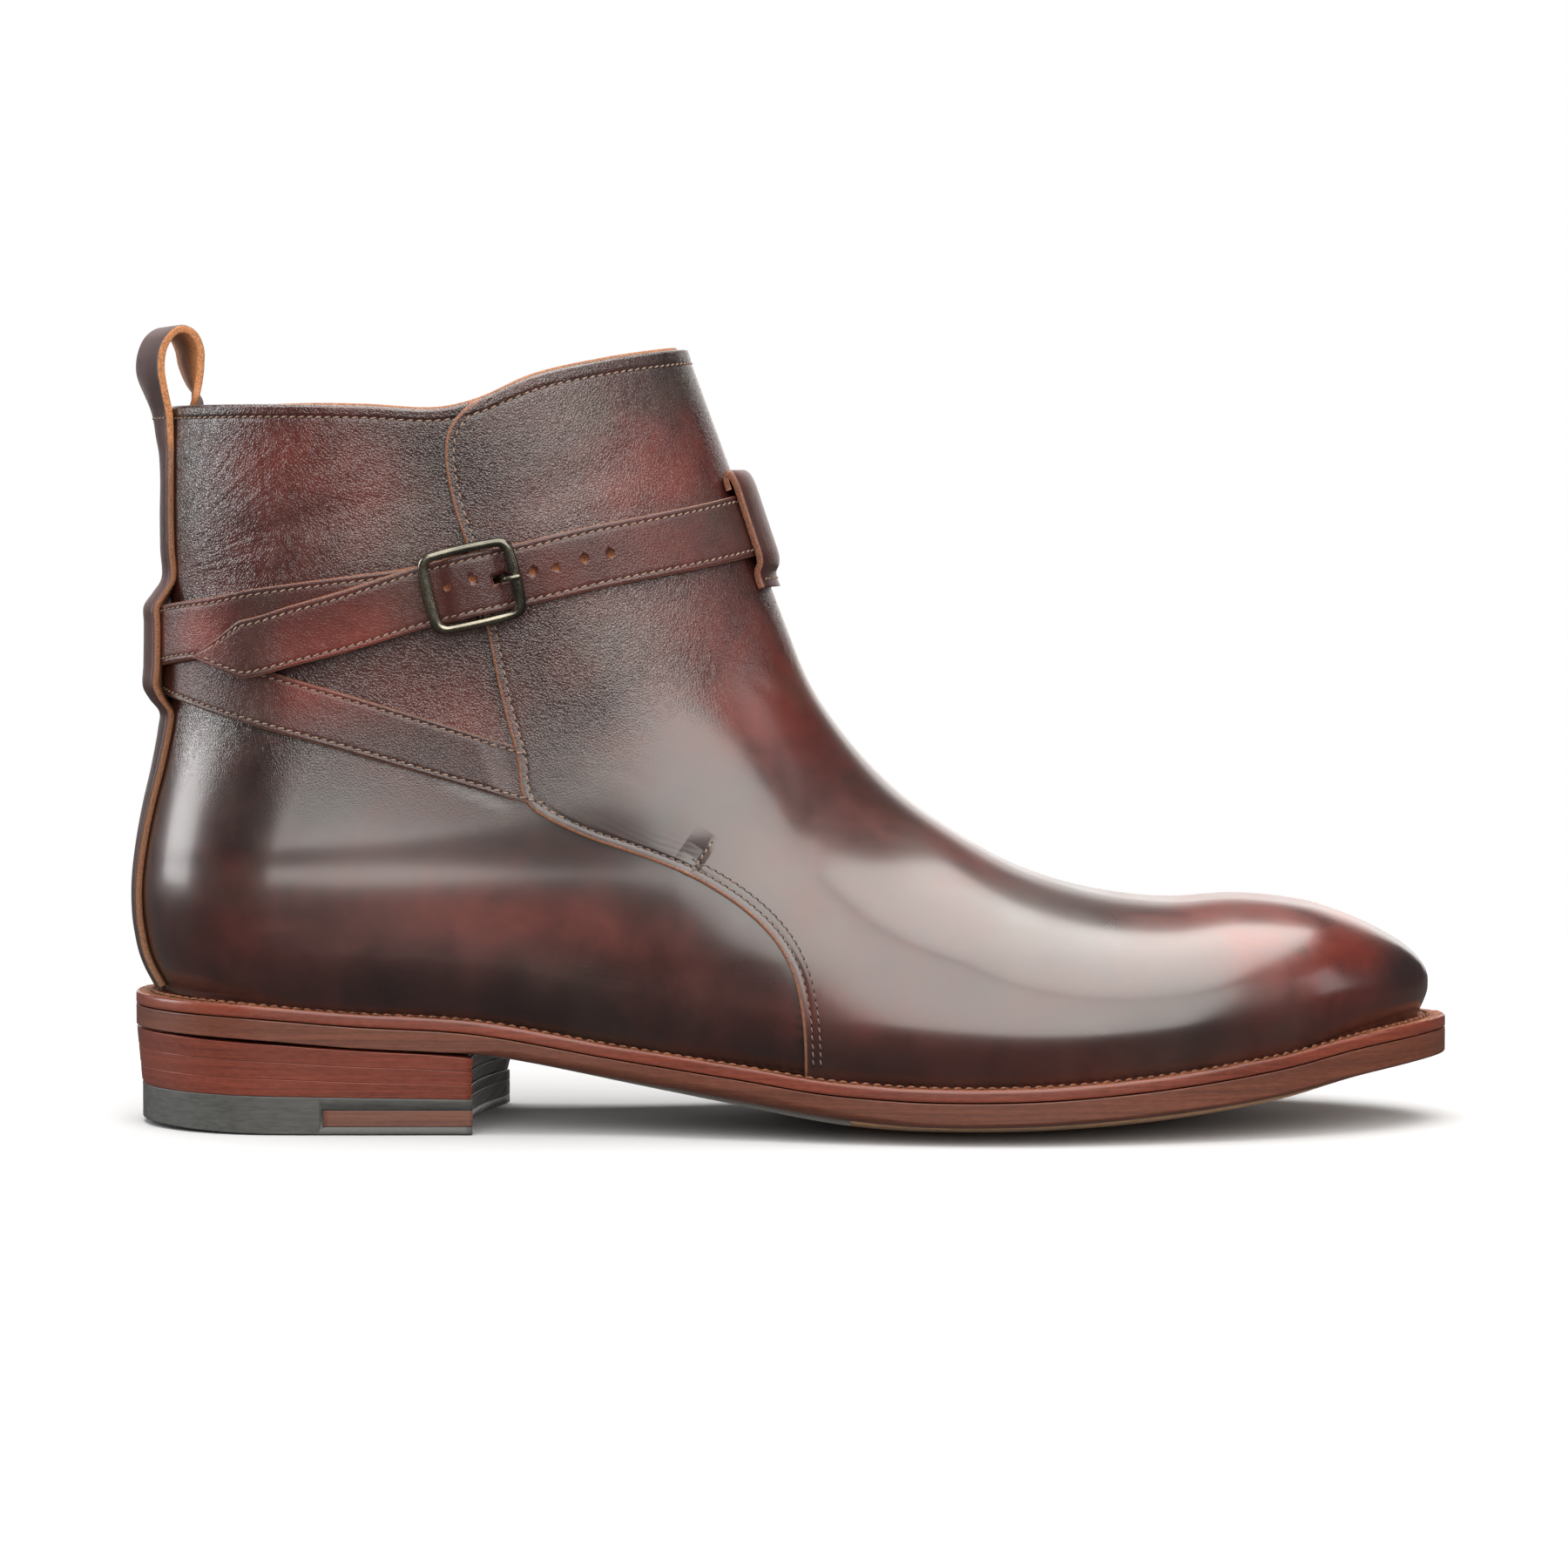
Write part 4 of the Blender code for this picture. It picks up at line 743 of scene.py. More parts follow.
def stretched(tree, where, x, y, z):
    return node(tree, "ShaderNodeVectorMath", {0: where, 1: (x, y, z)}, operation="MULTIPLY").outputs[0]


def band(tree, value, low, high, a=0.0, b=1.0):
    return node(tree, "ShaderNodeMapRange",
                {"Value": value, "From Min": low, "From Max": high, "To Min": a, "To Max": b}).outputs[0]


def blend_colour(tree, amount, a, b):
    full = lambda c: c if isinstance(c, bpy.types.NodeSocket) else (*c, 1.0)
    return node(tree, "ShaderNodeMix", {0: amount, 6: full(a), 7: full(b)}, data_type="RGBA").outputs[2]


def mark(tree, name):
    return node(tree, "ShaderNodeAttribute", attribute_name=name, attribute_type="GEOMETRY").outputs["Fac"]


def bumps(tree, layers):
    """Bump nodes one after another: (height, strength, distance)."""
    last = None
    for height, strength, distance in layers:
        inputs = {"Height": height, "Strength": strength, "Distance": distance}
        if last is not None:
            inputs["Normal"] = last
        last = node(tree, "ShaderNodeBump", inputs).outputs[0]
    return last


def begin(name, rough, metal=0.0, coat=0.0, coat_rough=0.1, specular=0.5):
    mat = bpy.data.materials.new(name)
    mat.use_nodes = True
    tree = mat.node_tree
    shader = tree.nodes["Principled BSDF"]
    shader.inputs["Roughness"].default_value = rough
    shader.inputs["Metallic"].default_value = metal
    shader.inputs["Coat Weight"].default_value = coat
    shader.inputs["Coat Roughness"].default_value = coat_rough
    shader.inputs["Specular IOR Level"].default_value = specular
    where = node(tree, "ShaderNodeTexCoord").outputs["Object"]
    return mat, tree, shader, where


def wire(tree, shader, colour=None, rough=None, normal=None):
    if colour is not None:
        tree.links.new(colour, shader.inputs["Base Color"])
    if rough is not None:
        tree.links.new(rough, shader.inputs["Roughness"])
    if normal is not None:
        tree.links.new(normal, shader.inputs["Normal"])
        if shader.inputs["Coat Weight"].default_value > 0:
            tree.links.new(normal, shader.inputs["Coat Normal"])


DEEP = (0.0110, 0.0040, 0.0038)
WINE = (0.0360, 0.0078, 0.0062)
RED = (0.1050, 0.0130, 0.0070)
OLIVE = (0.0360, 0.0280, 0.0210)
RAW = (0.2000, 0.0700, 0.0300)
# The darkest brown: burnish of the leather, and painted shade wherever the dark mark or the tack's dent darkens the
# colour.
BURNISH_AND_SHADE = (0.0080, 0.0035, 0.0035)

# The little tack on the vamp, over a pinch in the leather: x and z of both ends as shares, in side view.
TACK = ((0.4260, 0.3372), (0.4405, 0.3737))


def pinch(tree, where):
    """A soft mask for the pinch behind the tack, from 0 to 1; it dents the normal and carries the painted shade in the
    dent.
    """
    (x0, z0), (x1, z1) = TACK
    a = np.array([x0 * SOLE_LENGTH + SHIFT[0], z0 * FRONT_HEIGHT])
    d = np.array([(x1 - x0) * SOLE_LENGTH, (z1 - z0) * FRONT_HEIGHT])
    length = float(np.hypot(*d))
    d = d / length
    place = node(tree, "ShaderNodeSeparateXYZ", {0: where}).outputs
    dx = maths(tree, "SUBTRACT", place[0], float(a[0]))
    dz = maths(tree, "SUBTRACT", place[2], float(a[1]))
    along = maths(tree, "MULTIPLY_ADD", dx, float(d[0]), maths(tree, "MULTIPLY", dz, float(d[1])))
    across = maths(tree, "MULTIPLY_ADD", dx, float(d[1]), maths(tree, "MULTIPLY", dz, -float(d[0])))
    ends = maths(tree, "MULTIPLY", band(tree, along, -0.0016, 0.0030),
                 band(tree, along, length - 0.0024, length + 0.0018, 1.0, 0.0))
    sides = maths(tree, "MULTIPLY", band(tree, across, -0.0052, -0.0008),
                  band(tree, across, -0.0008, 0.0012, 1.0, 0.0))
    return maths(tree, "MULTIPLY", ends, sides)


def leather(name, grain, reddish, rough, coat, raw=RAW, tacked=False):
    """Burnished leather: dark brown with oxblood clouds, fine pebbled grain, raw at the cut edges, with painted shade
    where the dark mark and the tack's dent darken it.
    """
    mat, tree, shader, where = begin(name, rough, coat=coat, coat_rough=0.18)
    cloud = noise(tree, where, 22.0, 3.0, 0.50, 0.6)
    cloud2 = noise(tree, where, 60.0, 4.0, 0.60, 0.4)
    mottle = noise(tree, where, 240.0, 3.0, 0.65)
    glow = mark(tree, "red")
    shade = mark(tree, "dark")
    amount = maths(tree, "ADD", band(tree, cloud, 0.40, 0.66, 0.0, 0.75),
                   band(tree, cloud2, 0.42, 0.70, -0.15, 0.35))
    amount = maths(tree, "ADD", amount, band(tree, mottle, 0.35, 0.65, -0.10, 0.10))
    colour = blend_colour(tree, maths(tree, "ADD", amount, reddish, clamp=True), DEEP, WINE)
    hot = maths(tree, "MULTIPLY", glow, band(tree, cloud2, 0.30, 0.62, 0.35, 1.0))
    colour = blend_colour(tree, maths(tree, "MULTIPLY", hot, 1.0, clamp=True), colour, RED)
    grey = maths(tree, "MULTIPLY", band(tree, noise(tree, where, 34.0, 2.0, 0.5, 0.3), 0.52, 0.72), 0.35)
    colour = blend_colour(tree, grey, colour, OLIVE)
    # Burnish and painted shade: the dark mark darkens the colour towards the darkest brown.
    colour = blend_colour(tree, maths(tree, "MULTIPLY", shade, 0.85, clamp=True), colour, BURNISH_AND_SHADE)
    dent = pinch(tree, where) if tacked else None
    # Painted shade: the pinch behind the tack is darkened as the shadow in its dent.
    if tacked:
        colour = blend_colour(tree, maths(tree, "MULTIPLY", dent, 0.80), colour, BURNISH_AND_SHADE)
    cut = mark(tree, "cut")
    fibre = noise(tree, where, 2600.0, 3.0, 0.7)
    raw_colour = blend_colour(tree, band(tree, fibre, 0.35, 0.65), tuple(0.30 * c for c in raw), raw)
    colour = blend_colour(tree, band(tree, cut, 0.25, 0.60), colour, raw_colour)
    pebble = mark(tree, "grain")
    warp = node(tree, "ShaderNodeTexNoise", {"Vector": where, "Scale": 420.0, "Detail": 2.0}).outputs[1]
    bent = node(tree, "ShaderNodeVectorMath", {0: warp, 1: (0.0016, 0.0016, 0.0016), 2: where},
                operation="MULTIPLY_ADD").outputs[0]
    cell = node(tree, "ShaderNodeTexVoronoi", {"Vector": bent, "Scale": 1550.0}, feature="DISTANCE_TO_EDGE").outputs[0]
    pores = noise(tree, bent, 1500.0, 3.0, 0.65)
    wrinkle = mark(tree, "crease")
    line = node(tree, "ShaderNodeAttribute", attribute_name="fan", attribute_type="GEOMETRY").outputs["Vector"]
    folds = noise(tree, line, 1.0, 2.0, 0.50, 0.35)
    rough_value = maths(tree, "ADD", band(tree, cloud2, 0.3, 0.7, rough - 0.04, rough + 0.06),
                        maths(tree, "MULTIPLY", cut, 0.45))
    fall = [(maths(tree, "SUBTRACT", 1.0, dent), 0.7, 0.0008)] if tacked else []
    fine = maths(tree, "ADD", pebble, 0.02)
    normal = bumps(tree, fall + [
        (noise(tree, where, 9.0, 2.0, 0.5), 0.25, 0.0022),
        (maths(tree, "MULTIPLY", noise(tree, where, 150.0, 3.0, 0.55), fine), 0.40 * grain, 0.00030),
        (maths(tree, "MULTIPLY", folds, wrinkle), 0.26, 0.00110),
        (maths(tree, "MULTIPLY", band(tree, cell, 0.0, 0.26), pebble), 0.60 * grain, 0.00009),
        (maths(tree, "MULTIPLY", pores, pebble), 0.45 * grain, 0.00016),
        (maths(tree, "MULTIPLY", fibre, cut), 0.6, 0.00020),
    ])
    wire(tree, shader, colour, rough_value, normal)
    return mat


def raw_leather(name, light, dark):
    """The cut or flesh side of leather."""
    mat, tree, shader, where = begin(name, 0.75, specular=0.25)
    fibre = noise(tree, where, 1500.0, 4.0, 0.7)
    wide = noise(tree, where, 70.0, 3.0, 0.6)
    colour = blend_colour(tree, band(tree, fibre, 0.34, 0.66), dark, light)
    colour = blend_colour(tree, band(tree, wide, 0.42, 0.70, 0.0, 0.40), colour, dark)
    wire(tree, shader, colour, None, bumps(tree, [(fibre, 0.55, 0.00018)]))
    return mat


def sole_edge(name, light, dark, rough, coat):
    """Burnished sole leather seen on its edge: fine lines along the layers, waxed."""
    mat, tree, shader, where = begin(name, rough, coat=coat, coat_rough=0.20, specular=0.30)
    lines = noise(tree, stretched(tree, where, 26.0, 26.0, 1500.0), 1.0, 4.0, 0.65, 0.15)
    broad = noise(tree, stretched(tree, where, 9.0, 9.0, 260.0), 1.0, 3.0, 0.55, 0.2)
    specks = noise(tree, stretched(tree, where, 420.0, 420.0, 1600.0), 1.0, 3.0, 0.7)
    amount = maths(tree, "ADD", band(tree, lines, 0.30, 0.72, 0.0, 0.7), band(tree, broad, 0.30, 0.72, -0.1, 0.5))
    amount = maths(tree, "ADD", amount, band(tree, specks, 0.35, 0.65, -0.16, 0.16), clamp=True)
    colour = blend_colour(tree, amount, dark, light)
    tall = mark(tree, "dark")
    colour = blend_colour(tree, maths(tree, "MULTIPLY", tall, 0.9, clamp=True), colour, tuple(0.22 * c for c in dark))
    normal = bumps(tree, [(lines, 0.25, 0.00012), (specks, 0.25, 0.00006)])
    wire(tree, shader, colour, band(tree, specks, 0.3, 0.7, rough - 0.05, rough + 0.12), normal)
    return mat


def welt_leather(name):
    mat, tree, shader, where = begin(name, 0.62, specular=0.35)
    rough = noise(tree, where, 900.0, 4.0, 0.75)
    broad = noise(tree, where, 260.0, 3.0, 0.6)
    colour = blend_colour(tree, band(tree, rough, 0.34, 0.66), (0.050, 0.014, 0.007), (0.300, 0.105, 0.042))
    colour = blend_colour(tree, band(tree, broad, 0.40, 0.70, 0.0, 0.6), colour, (0.120, 0.030, 0.014))
    wire(tree, shader, colour, None, bumps(tree, [(broad, 0.5, 0.0005), (rough, 0.8, 0.0004)]))
    return mat


def rubber(name):
    mat, tree, shader, where = begin(name, 0.55, specular=0.4)
    fine = noise(tree, stretched(tree, where, 300.0, 300.0, 1500.0), 1.0, 3.0, 0.6)
    colour = blend_colour(tree, fine, (0.020, 0.021, 0.020), (0.062, 0.063, 0.060))
    wire(tree, shader, colour, band(tree, fine, 0.3, 0.7, 0.45, 0.65), bumps(tree, [(fine, 0.3, 0.0001)]))
    return mat


def breast_leather(name):
    """Front of the heel: rasped in curved lines and inked grey-black."""
    mat, tree, shader, where = begin(name, 0.42, specular=0.5)
    bend = node(tree, "ShaderNodeSeparateXYZ", {0: where})
    lift = maths(tree, "MULTIPLY", maths(tree, "POWER", maths(tree, "ABSOLUTE", bend.outputs[1]), 2.0), 6.0)
    height = maths(tree, "SUBTRACT", bend.outputs[2], lift)
    place = node(tree, "ShaderNodeCombineXYZ", {0: maths(tree, "MULTIPLY", bend.outputs[1], 30.0),
                                                1: 0.0, 2: maths(tree, "MULTIPLY", height, 900.0)}).outputs[0]
    lines = noise(tree, place, 1.0, 3.0, 0.6, 0.3)
    colour = blend_colour(tree, band(tree, lines, 0.35, 0.65), (0.012, 0.011, 0.011), (0.070, 0.066, 0.062))
    wire(tree, shader, colour, None, bumps(tree, [(lines, 0.9, 0.0005)]))
    return mat


def metal(name):
    mat, tree, shader, where = begin(name, 0.24, metal=1.0)
    wear = noise(tree, where, 70.0, 3.0, 0.55)
    fine = noise(tree, where, 1800.0, 2.0, 0.6)
    colour = blend_colour(tree, band(tree, wear, 0.38, 0.64), (0.085, 0.082, 0.068), (0.230, 0.212, 0.168))
    wire(tree, shader, colour, band(tree, fine, 0.3, 0.7, 0.18, 0.34), bumps(tree, [(fine, 0.08, 0.00003)]))
    return mat


def thread(name, light, dark):
    mat, tree, shader, where = begin(name, 0.70, specular=0.3)
    twist = noise(tree, where, 2400.0, 2.0, 0.6)
    end = mark(tree, "end")
    colour = blend_colour(tree, band(tree, twist, 0.35, 0.65), dark, light)
    # Painted shade: the thread darkens towards both ends, where it sinks into its holes.
    far = maths(tree, "POWER", maths(tree, "ABSOLUTE", end), 3.0)
    colour = blend_colour(tree, maths(tree, "MULTIPLY", far, 0.7), colour, tuple(0.25 * c for c in dark))
    wire(tree, shader, colour, None, bumps(tree, [(twist, 0.5, 0.0001)]))
    return mat


def plain(name, light, dark, rough, scale=600.0):
    mat, tree, shader, where = begin(name, rough, specular=0.3)
    grain = noise(tree, where, scale, 3.0, 0.6)
    colour = blend_colour(tree, band(tree, grain, 0.35, 0.65), dark, light)
    wire(tree, shader, colour, None, bumps(tree, [(grain, 0.4, 0.0001)]))
    return mat


UPPER = leather("upper leather", 1.0, 0.0, 0.31, 0.45, tacked=True)
STRAP = leather("strap leather", 0.8, 0.22, 0.38, 0.14, (0.20, 0.070, 0.034))
LINING = raw_leather("lining", (0.460, 0.270, 0.150), (0.300, 0.155, 0.080))
FLESH = raw_leather("flesh side", (0.270, 0.125, 0.062), (0.120, 0.046, 0.022))
SOCK = plain("sock leather", (0.440, 0.265, 0.150), (0.360, 0.205, 0.110), 0.55)
SOLE_EDGE = sole_edge("outsole edge", (0.098, 0.029, 0.015), (0.046, 0.013, 0.007), 0.45, 0.12)
HEEL_EDGE = sole_edge("heel edge", (0.128, 0.024, 0.012), (0.058, 0.011, 0.006), 0.45, 0.14)
WELT_TOP_MAT = welt_leather("welt top")
WELT_EDGE = sole_edge("welt edge", (0.132, 0.026, 0.012), (0.058, 0.011, 0.006), 0.38, 0.30)
RUBBER = rubber("top lift rubber")
INSERT = sole_edge("insert leather", (0.110, 0.044, 0.028), (0.060, 0.022, 0.015), 0.55, 0.03)
BREAST = breast_leather("heel breast")
WAIST = sole_edge("waist", (0.060, 0.026, 0.016), (0.026, 0.012, 0.008), 0.22, 0.5)
TREAD = plain("tread leather", (0.430, 0.240, 0.120), (0.300, 0.150, 0.070), 0.55, 400.0)
METAL = metal("antique nickel")
TAN_THREAD = thread("tan thread", (0.260, 0.180, 0.135), (0.110, 0.066, 0.048))
DARK_THREAD = thread("dark thread", (0.170, 0.115, 0.090), (0.055, 0.032, 0.026))
WELT_THREAD = thread("welt thread", (0.210, 0.085, 0.042), (0.080, 0.026, 0.013))
# Painted shade of the needle holes: a near-black material on small cones over the leather.
NEEDLE_HOLE_SHADE = plain("needle hole shade", (0.010, 0.005, 0.004), (0.004, 0.002, 0.002), 0.8)
EYELET = raw_leather("punched edge", (0.300, 0.125, 0.055), (0.110, 0.040, 0.018))
BACKSTAY_MAT = leather("backstay leather", 1.0, 0.30, 0.46, 0.06, (0.400, 0.160, 0.058))


# Marks painted on the upper, in side view, with places as shares of SOLE_LENGTH and FRONT_HEIGHT.
# Oxblood clouds: x, z, half-length, half-height, tilt in degrees, strength, side (-1 outer, 1 inner, 0 both).
CLOUDS = [
    (0.140, 0.865, 0.050, 0.040, 10, 0.85, 0), (0.190, 0.800, 0.030, 0.035, 30, 0.50, 0),
    (0.090, 0.720, 0.040, 0.035, 20, 0.45, 0), (0.395, 0.850, 0.030, 0.060, 60, 0.75, 0),
    (0.350, 0.800, 0.035, 0.030, 0, 0.35, 0), (0.330, 0.620, 0.040, 0.040, 10, 0.30, 0),
    (0.440, 0.640, 0.040, 0.100, 60, 0.45, 0), (0.470, 0.530, 0.030, 0.060, 60, 0.50, 0),
    (0.230, 0.520, 0.050, 0.040, 0, 0.60, 0), (0.300, 0.270, 0.110, 0.035, -8, 0.70, 0),
    (0.120, 0.250, 0.080, 0.030, 0, 0.40, 0), (0.520, 0.330, 0.060, 0.040, -20, 0.30, 0),
    (0.600, 0.360, 0.080, 0.040, -25, 0.30, 0), (0.880, 0.215, 0.070, 0.040, -8, 1.00, 0),
    (0.930, 0.250, 0.040, 0.040, -30, 0.80, 0), (0.820, 0.280, 0.060, 0.022, 0, 0.55, 0),
    (0.560, 0.150, 0.120, 0.030, -10, 0.45, 0),
]
# Dark burnish, the same columns.
# Darker patches, the same columns: painted shade where the light falls off, at the back of the shaft, low above the
# welt and at the toe, and burnish of the leather in the other patches.
SHADES = [
    (0.020, 0.850, 0.020, 0.150, 0, 0.30, 0), (0.060, 0.900, 0.100, 0.030, 0, 0.25, 0),
    (0.220, 0.900, 0.060, 0.060, 0, 0.35, 0), (0.760, 0.150, 0.300, 0.030, 8, 0.55, 0),
    (0.960, 0.180, 0.030, 0.050, 0, 0.50, 0), (0.250, 0.200, 0.300, 0.040, -10, 0.55, 0),
    (0.690, 0.300, 0.050, 0.030, -10, 0.30, 0), (0.975, 0.230, 0.030, 0.040, -40, 0.45, 0),
    (0.300, 0.640, 0.060, 0.030, 10, 0.60, 0),
]


def patches(rows, x, z, side):
    """Soft patches added up at places in side view."""
    total = np.zeros_like(x)
    for px, pz, a, b, tilt, strength, which in rows:
        t = math.radians(tilt)
        dx = x - px * SOLE_LENGTH
        dz = z - pz * FRONT_HEIGHT
        u = (dx * math.cos(t) + dz * math.sin(t)) / (a * SOLE_LENGTH)
        v = (-dx * math.sin(t) + dz * math.cos(t)) / (b * FRONT_HEIGHT * 1.3)
        on = 1.0 if which == 0 else np.clip(side * which, 0, 1)
        total += strength * np.exp(-(u * u + v * v) * 0.8) * on
    return np.clip(total, 0, 1.2)


# Creases of the shaft, fanning out from the back of the ankle: x and z of the fan's centre, then its start and end
# angles in degrees and its reach as a share of SOLE_LENGTH.
FAN = (0.010, 0.700, 5.0, 80.0, 0.290)
# Soft troughs: x, z of both ends as shares, half-width as a share of SOLE_LENGTH, depth in metres, side.
TROUGHS = [
    (0.070, 0.745, 0.170, 0.800, 0.0090, 0.00045, 0), (0.110, 0.760, 0.230, 0.815, 0.0060, 0.00030, -1),
    (0.050, 0.700, 0.150, 0.735, 0.0060, 0.00035, 0), (0.300, 0.800, 0.380, 0.860, 0.0080, 0.00035, 0),
    (0.330, 0.770, 0.410, 0.790, 0.0060, 0.00028, 0), (0.455, 0.600, 0.480, 0.560, 0.0070, 0.00022, 0),
    (0.240, 0.460, 0.290, 0.425, 0.0050, 0.00025, -1),
]


def troughs(x, z, side):
    total = np.zeros_like(x)
    for x0, z0, x1, z1, width, depth, which in TROUGHS:
        a = np.array([x0 * SOLE_LENGTH, z0 * FRONT_HEIGHT])
        b = np.array([x1 * SOLE_LENGTH, z1 * FRONT_HEIGHT])
        d = b - a
        t = np.clip(((x - a[0]) * d[0] + (z - a[1]) * d[1]) / (d @ d), 0, 1)
        r = np.hypot(x - a[0] - t * d[0], z - a[1] - t * d[1]) / (width * SOLE_LENGTH)
        on = 1.0 if which == 0 else np.clip(side * which, 0, 1)
        ease = np.sqrt(np.clip(4 * t * (1 - t), 0, 1))
        total += depth * np.exp(-r * r * 2.0) * (0.35 + 0.65 * ease) * on
    return -total


def edge_distance(x, z):
    """Signed distance in side view from the rear edge of the front piece; positive in front of it."""
    e = smooth(FLAP_EDGE, 6) * (SOLE_LENGTH, FRONT_HEIGHT)
    best = np.full(np.shape(x), 1e9)
    sign = np.ones(np.shape(x))
    for a, b in zip(e[:-1], e[1:]):
        d = b - a
        t = np.clip(((x - a[0]) * d[0] + (z - a[1]) * d[1]) / (d @ d), 0, 1)
        qx, qz = x - a[0] - t * d[0], z - a[1] - t * d[1]
        r = np.hypot(qx, qz)
        near = r < best
        best = np.where(near, r, best)
        # The edge runs downward, so the front lies on its left.
        sign = np.where(near, np.sign(d[0] * qz - d[1] * qx), sign)
    return best * sign


def ring_normals(below, ring, above):
    """Normals of a ring of the upper, from the rings just below and above it."""
    along = np.roll(ring, -1, axis=0) - np.roll(ring, 1, axis=0)
    return unit(np.cross(along, above - below)[None])[0]


def ring_at(level, half=400):
    """One fine ring of the upper with its normals."""
    h = 0.004
    trio = upper_grid(half, [max(level - h, 0), level, min(level + h, 1)])
    return trio[1], ring_normals(*trio)


def side_of(p):
    """-1 on the outer side, 1 on the inner side."""
    return np.where(p[..., 1] < plan_mid(p[..., 0]), -1.0, 1.0)


def upper_marks(p, cut):
    x, z, side = p[..., 0], p[..., 2], side_of(p)
    cx, cz = FAN[0] * SOLE_LENGTH, FAN[1] * FRONT_HEIGHT
    angle = np.degrees(np.arctan2(z - cz, x - cx))
    far = np.hypot(x - cx, z - cz) / SOLE_LENGTH
    fan = step(angle, FAN[2] - 14, FAN[2] + 14) * (1 - step(angle, FAN[3] - 25, FAN[3])) * step(far, 0.02, 0.06)
    fan = fan * (1 - step(far, FAN[4] * 0.55, FAN[4]))
    u, v = x / SOLE_LENGTH, z / FRONT_HEIGHT
    ankle = np.exp(-(((u - 0.400) / 0.10) ** 2 + ((v - 0.500) / 0.12) ** 2)) * 0.35
    flap = np.exp(-(((u - 0.370) / 0.07) ** 2 + ((v - 0.800) / 0.12) ** 2)) * 0.35
    marks = {
        "red": patches(CLOUDS, x, z, side),
        # Darker patches: burnish, and painted shade where the light falls off.
        "dark": patches(SHADES, x, z, side),
        "crease": np.clip(fan + ankle + flap, 0, 1),
        "grain": step(v - 0.12 * step(u, 0.30, 0.50), 0.36, 0.62),
        "cut": cut,
    }
    fan_at = np.stack([angle / 4.2 + side * 7, far * 15.0, side], axis=-1)
    return marks, fan_at


def add_vector(ob, name, values):
    attribute = ob.data.attributes.new(name, "FLOAT_VECTOR", "POINT")
    attribute.data.foreach_set("vector", np.asarray(values, np.float32).reshape(-1))


def fine_levels():
    """Levels of the rings from the feather edge up, crowded under the collar."""
    top = np.array([0.0, 0.25, 0.55, 0.9, 1.3, 1.7, 2.1, 2.4, 2.7, 3.2, 4.0, 5.0]) / 1000
    near_top = 1 - top * LEVEL_RATE
    low = np.linspace(0.0, 0.35, 74)
    return np.concatenate([low, np.linspace(0.35, near_top[-1], 86)[1:], near_top[::-1][1:]])


def collar_shape(d):
    """The folded edge above the collar's stitch row, by distance down from the collar."""
    fold = 0.00022 * (1 - step(d, COLLAR_ROW - 0.0008, COLLAR_ROW))
    return fold - 0.00016 * np.exp(-(((d - COLLAR_ROW) / 0.00035) ** 2))


# Rim of the collar: offset along the normal and rise, both in metres, over the folded leather, then the lining.
RIM = [
    (-0.00002, 0.00000), (-0.00012, 0.00030), (-0.00036, 0.00052), (-0.00066, 0.00058), (-0.00094, 0.00046),
    (-0.00112, 0.00022), (-0.00120, 0.00006),
]
LINING_RIM = [
    (-0.00124, 0.00074), (-0.00140, 0.00096), (-0.00175, 0.00102), (-0.00205, 0.00092), (-0.00220, 0.00040),
]


def build_quarter():
    levels = fine_levels()
    half = 150
    p = upper_grid(half, levels)
    n = grid_normals(p)
    off = troughs(p[..., 0], p[..., 2], side_of(p)) + collar_shape((1 - levels) / LEVEL_RATE)[:, None]
    rows = [p + n * off[..., None]]
    cuts = [np.zeros(p.shape[:2])]
    top, flat = p[-1], normed(n[-1] * (1, 1, 0))
    fold = off[-1][:, None]
    u = np.concatenate([np.arange(half + 1), np.arange(half - 1, 0, -1)]) / half
    show = 0.20 + 0.80 * step(u, 0.22, 0.40)
    for o, rise in RIM:
        rows.append((top + flat * (o + fold) + np.array([0, 0, rise]))[None])
        cuts.append(np.zeros((1, len(top))))
    for o, rise in LINING_RIM:
        rows.append((top + flat * o + show[:, None] * (0, 0, rise))[None])
        cuts.append(np.ones((1, len(top))))
    outer = np.concatenate(rows)
    cut = np.concatenate(cuts)
    q = upper_grid(half, np.linspace(1.0, 0.0, 40)[::-1])
    inside = (q - grid_normals(q) * WALL)[::-1]
    inside[0] = top - flat * WALL
    grid = np.concatenate([outer, inside])
    cut = np.concatenate([cut, np.zeros(inside.shape[:2])])
    rows_n, w = grid.shape[:2]
    # Leather outside, the lining's cut edge at the rim, the lining inside.
    row = np.repeat(np.arange(rows_n), w)
    edge = len(levels) + len(RIM) - 1
    index = np.where(row < edge, 0, np.where(row < edge + len(LINING_RIM), 2, 1))
    marks, fan = upper_marks(grid, cut)
    # Painted shade: the quarter is darkened in the angle along the edge of the front piece, where that edge casts its
    # shadow.
    near = edge_distance(grid[..., 0], grid[..., 2])
    marks["dark"] = np.clip(marks["dark"] + 0.9 * np.exp(-((near / 0.0011) ** 2)) * (cut < 0.5), 0, 1.2)
    ob = piece("quarter_and_lining", grid, loft_faces(rows_n, w, True), ("upper",), (UPPER, LINING, FLESH),
               index, marks)
    add_vector(ob, "fan", fan)


def flap_height(d):
    """Height of the front piece over the quarter, by distance in from its edge: round, full, and sewn down."""
    r = 0.0006
    h = FLAP_STEP - r + round_corner(d, r)
    h = h - 0.00010 * np.exp(-(((d - FLAP_ROWS[0]) / 0.00034) ** 2))
    return h + 0.00004 * np.exp(-(((d - 0.0011) / 0.0006) ** 2))


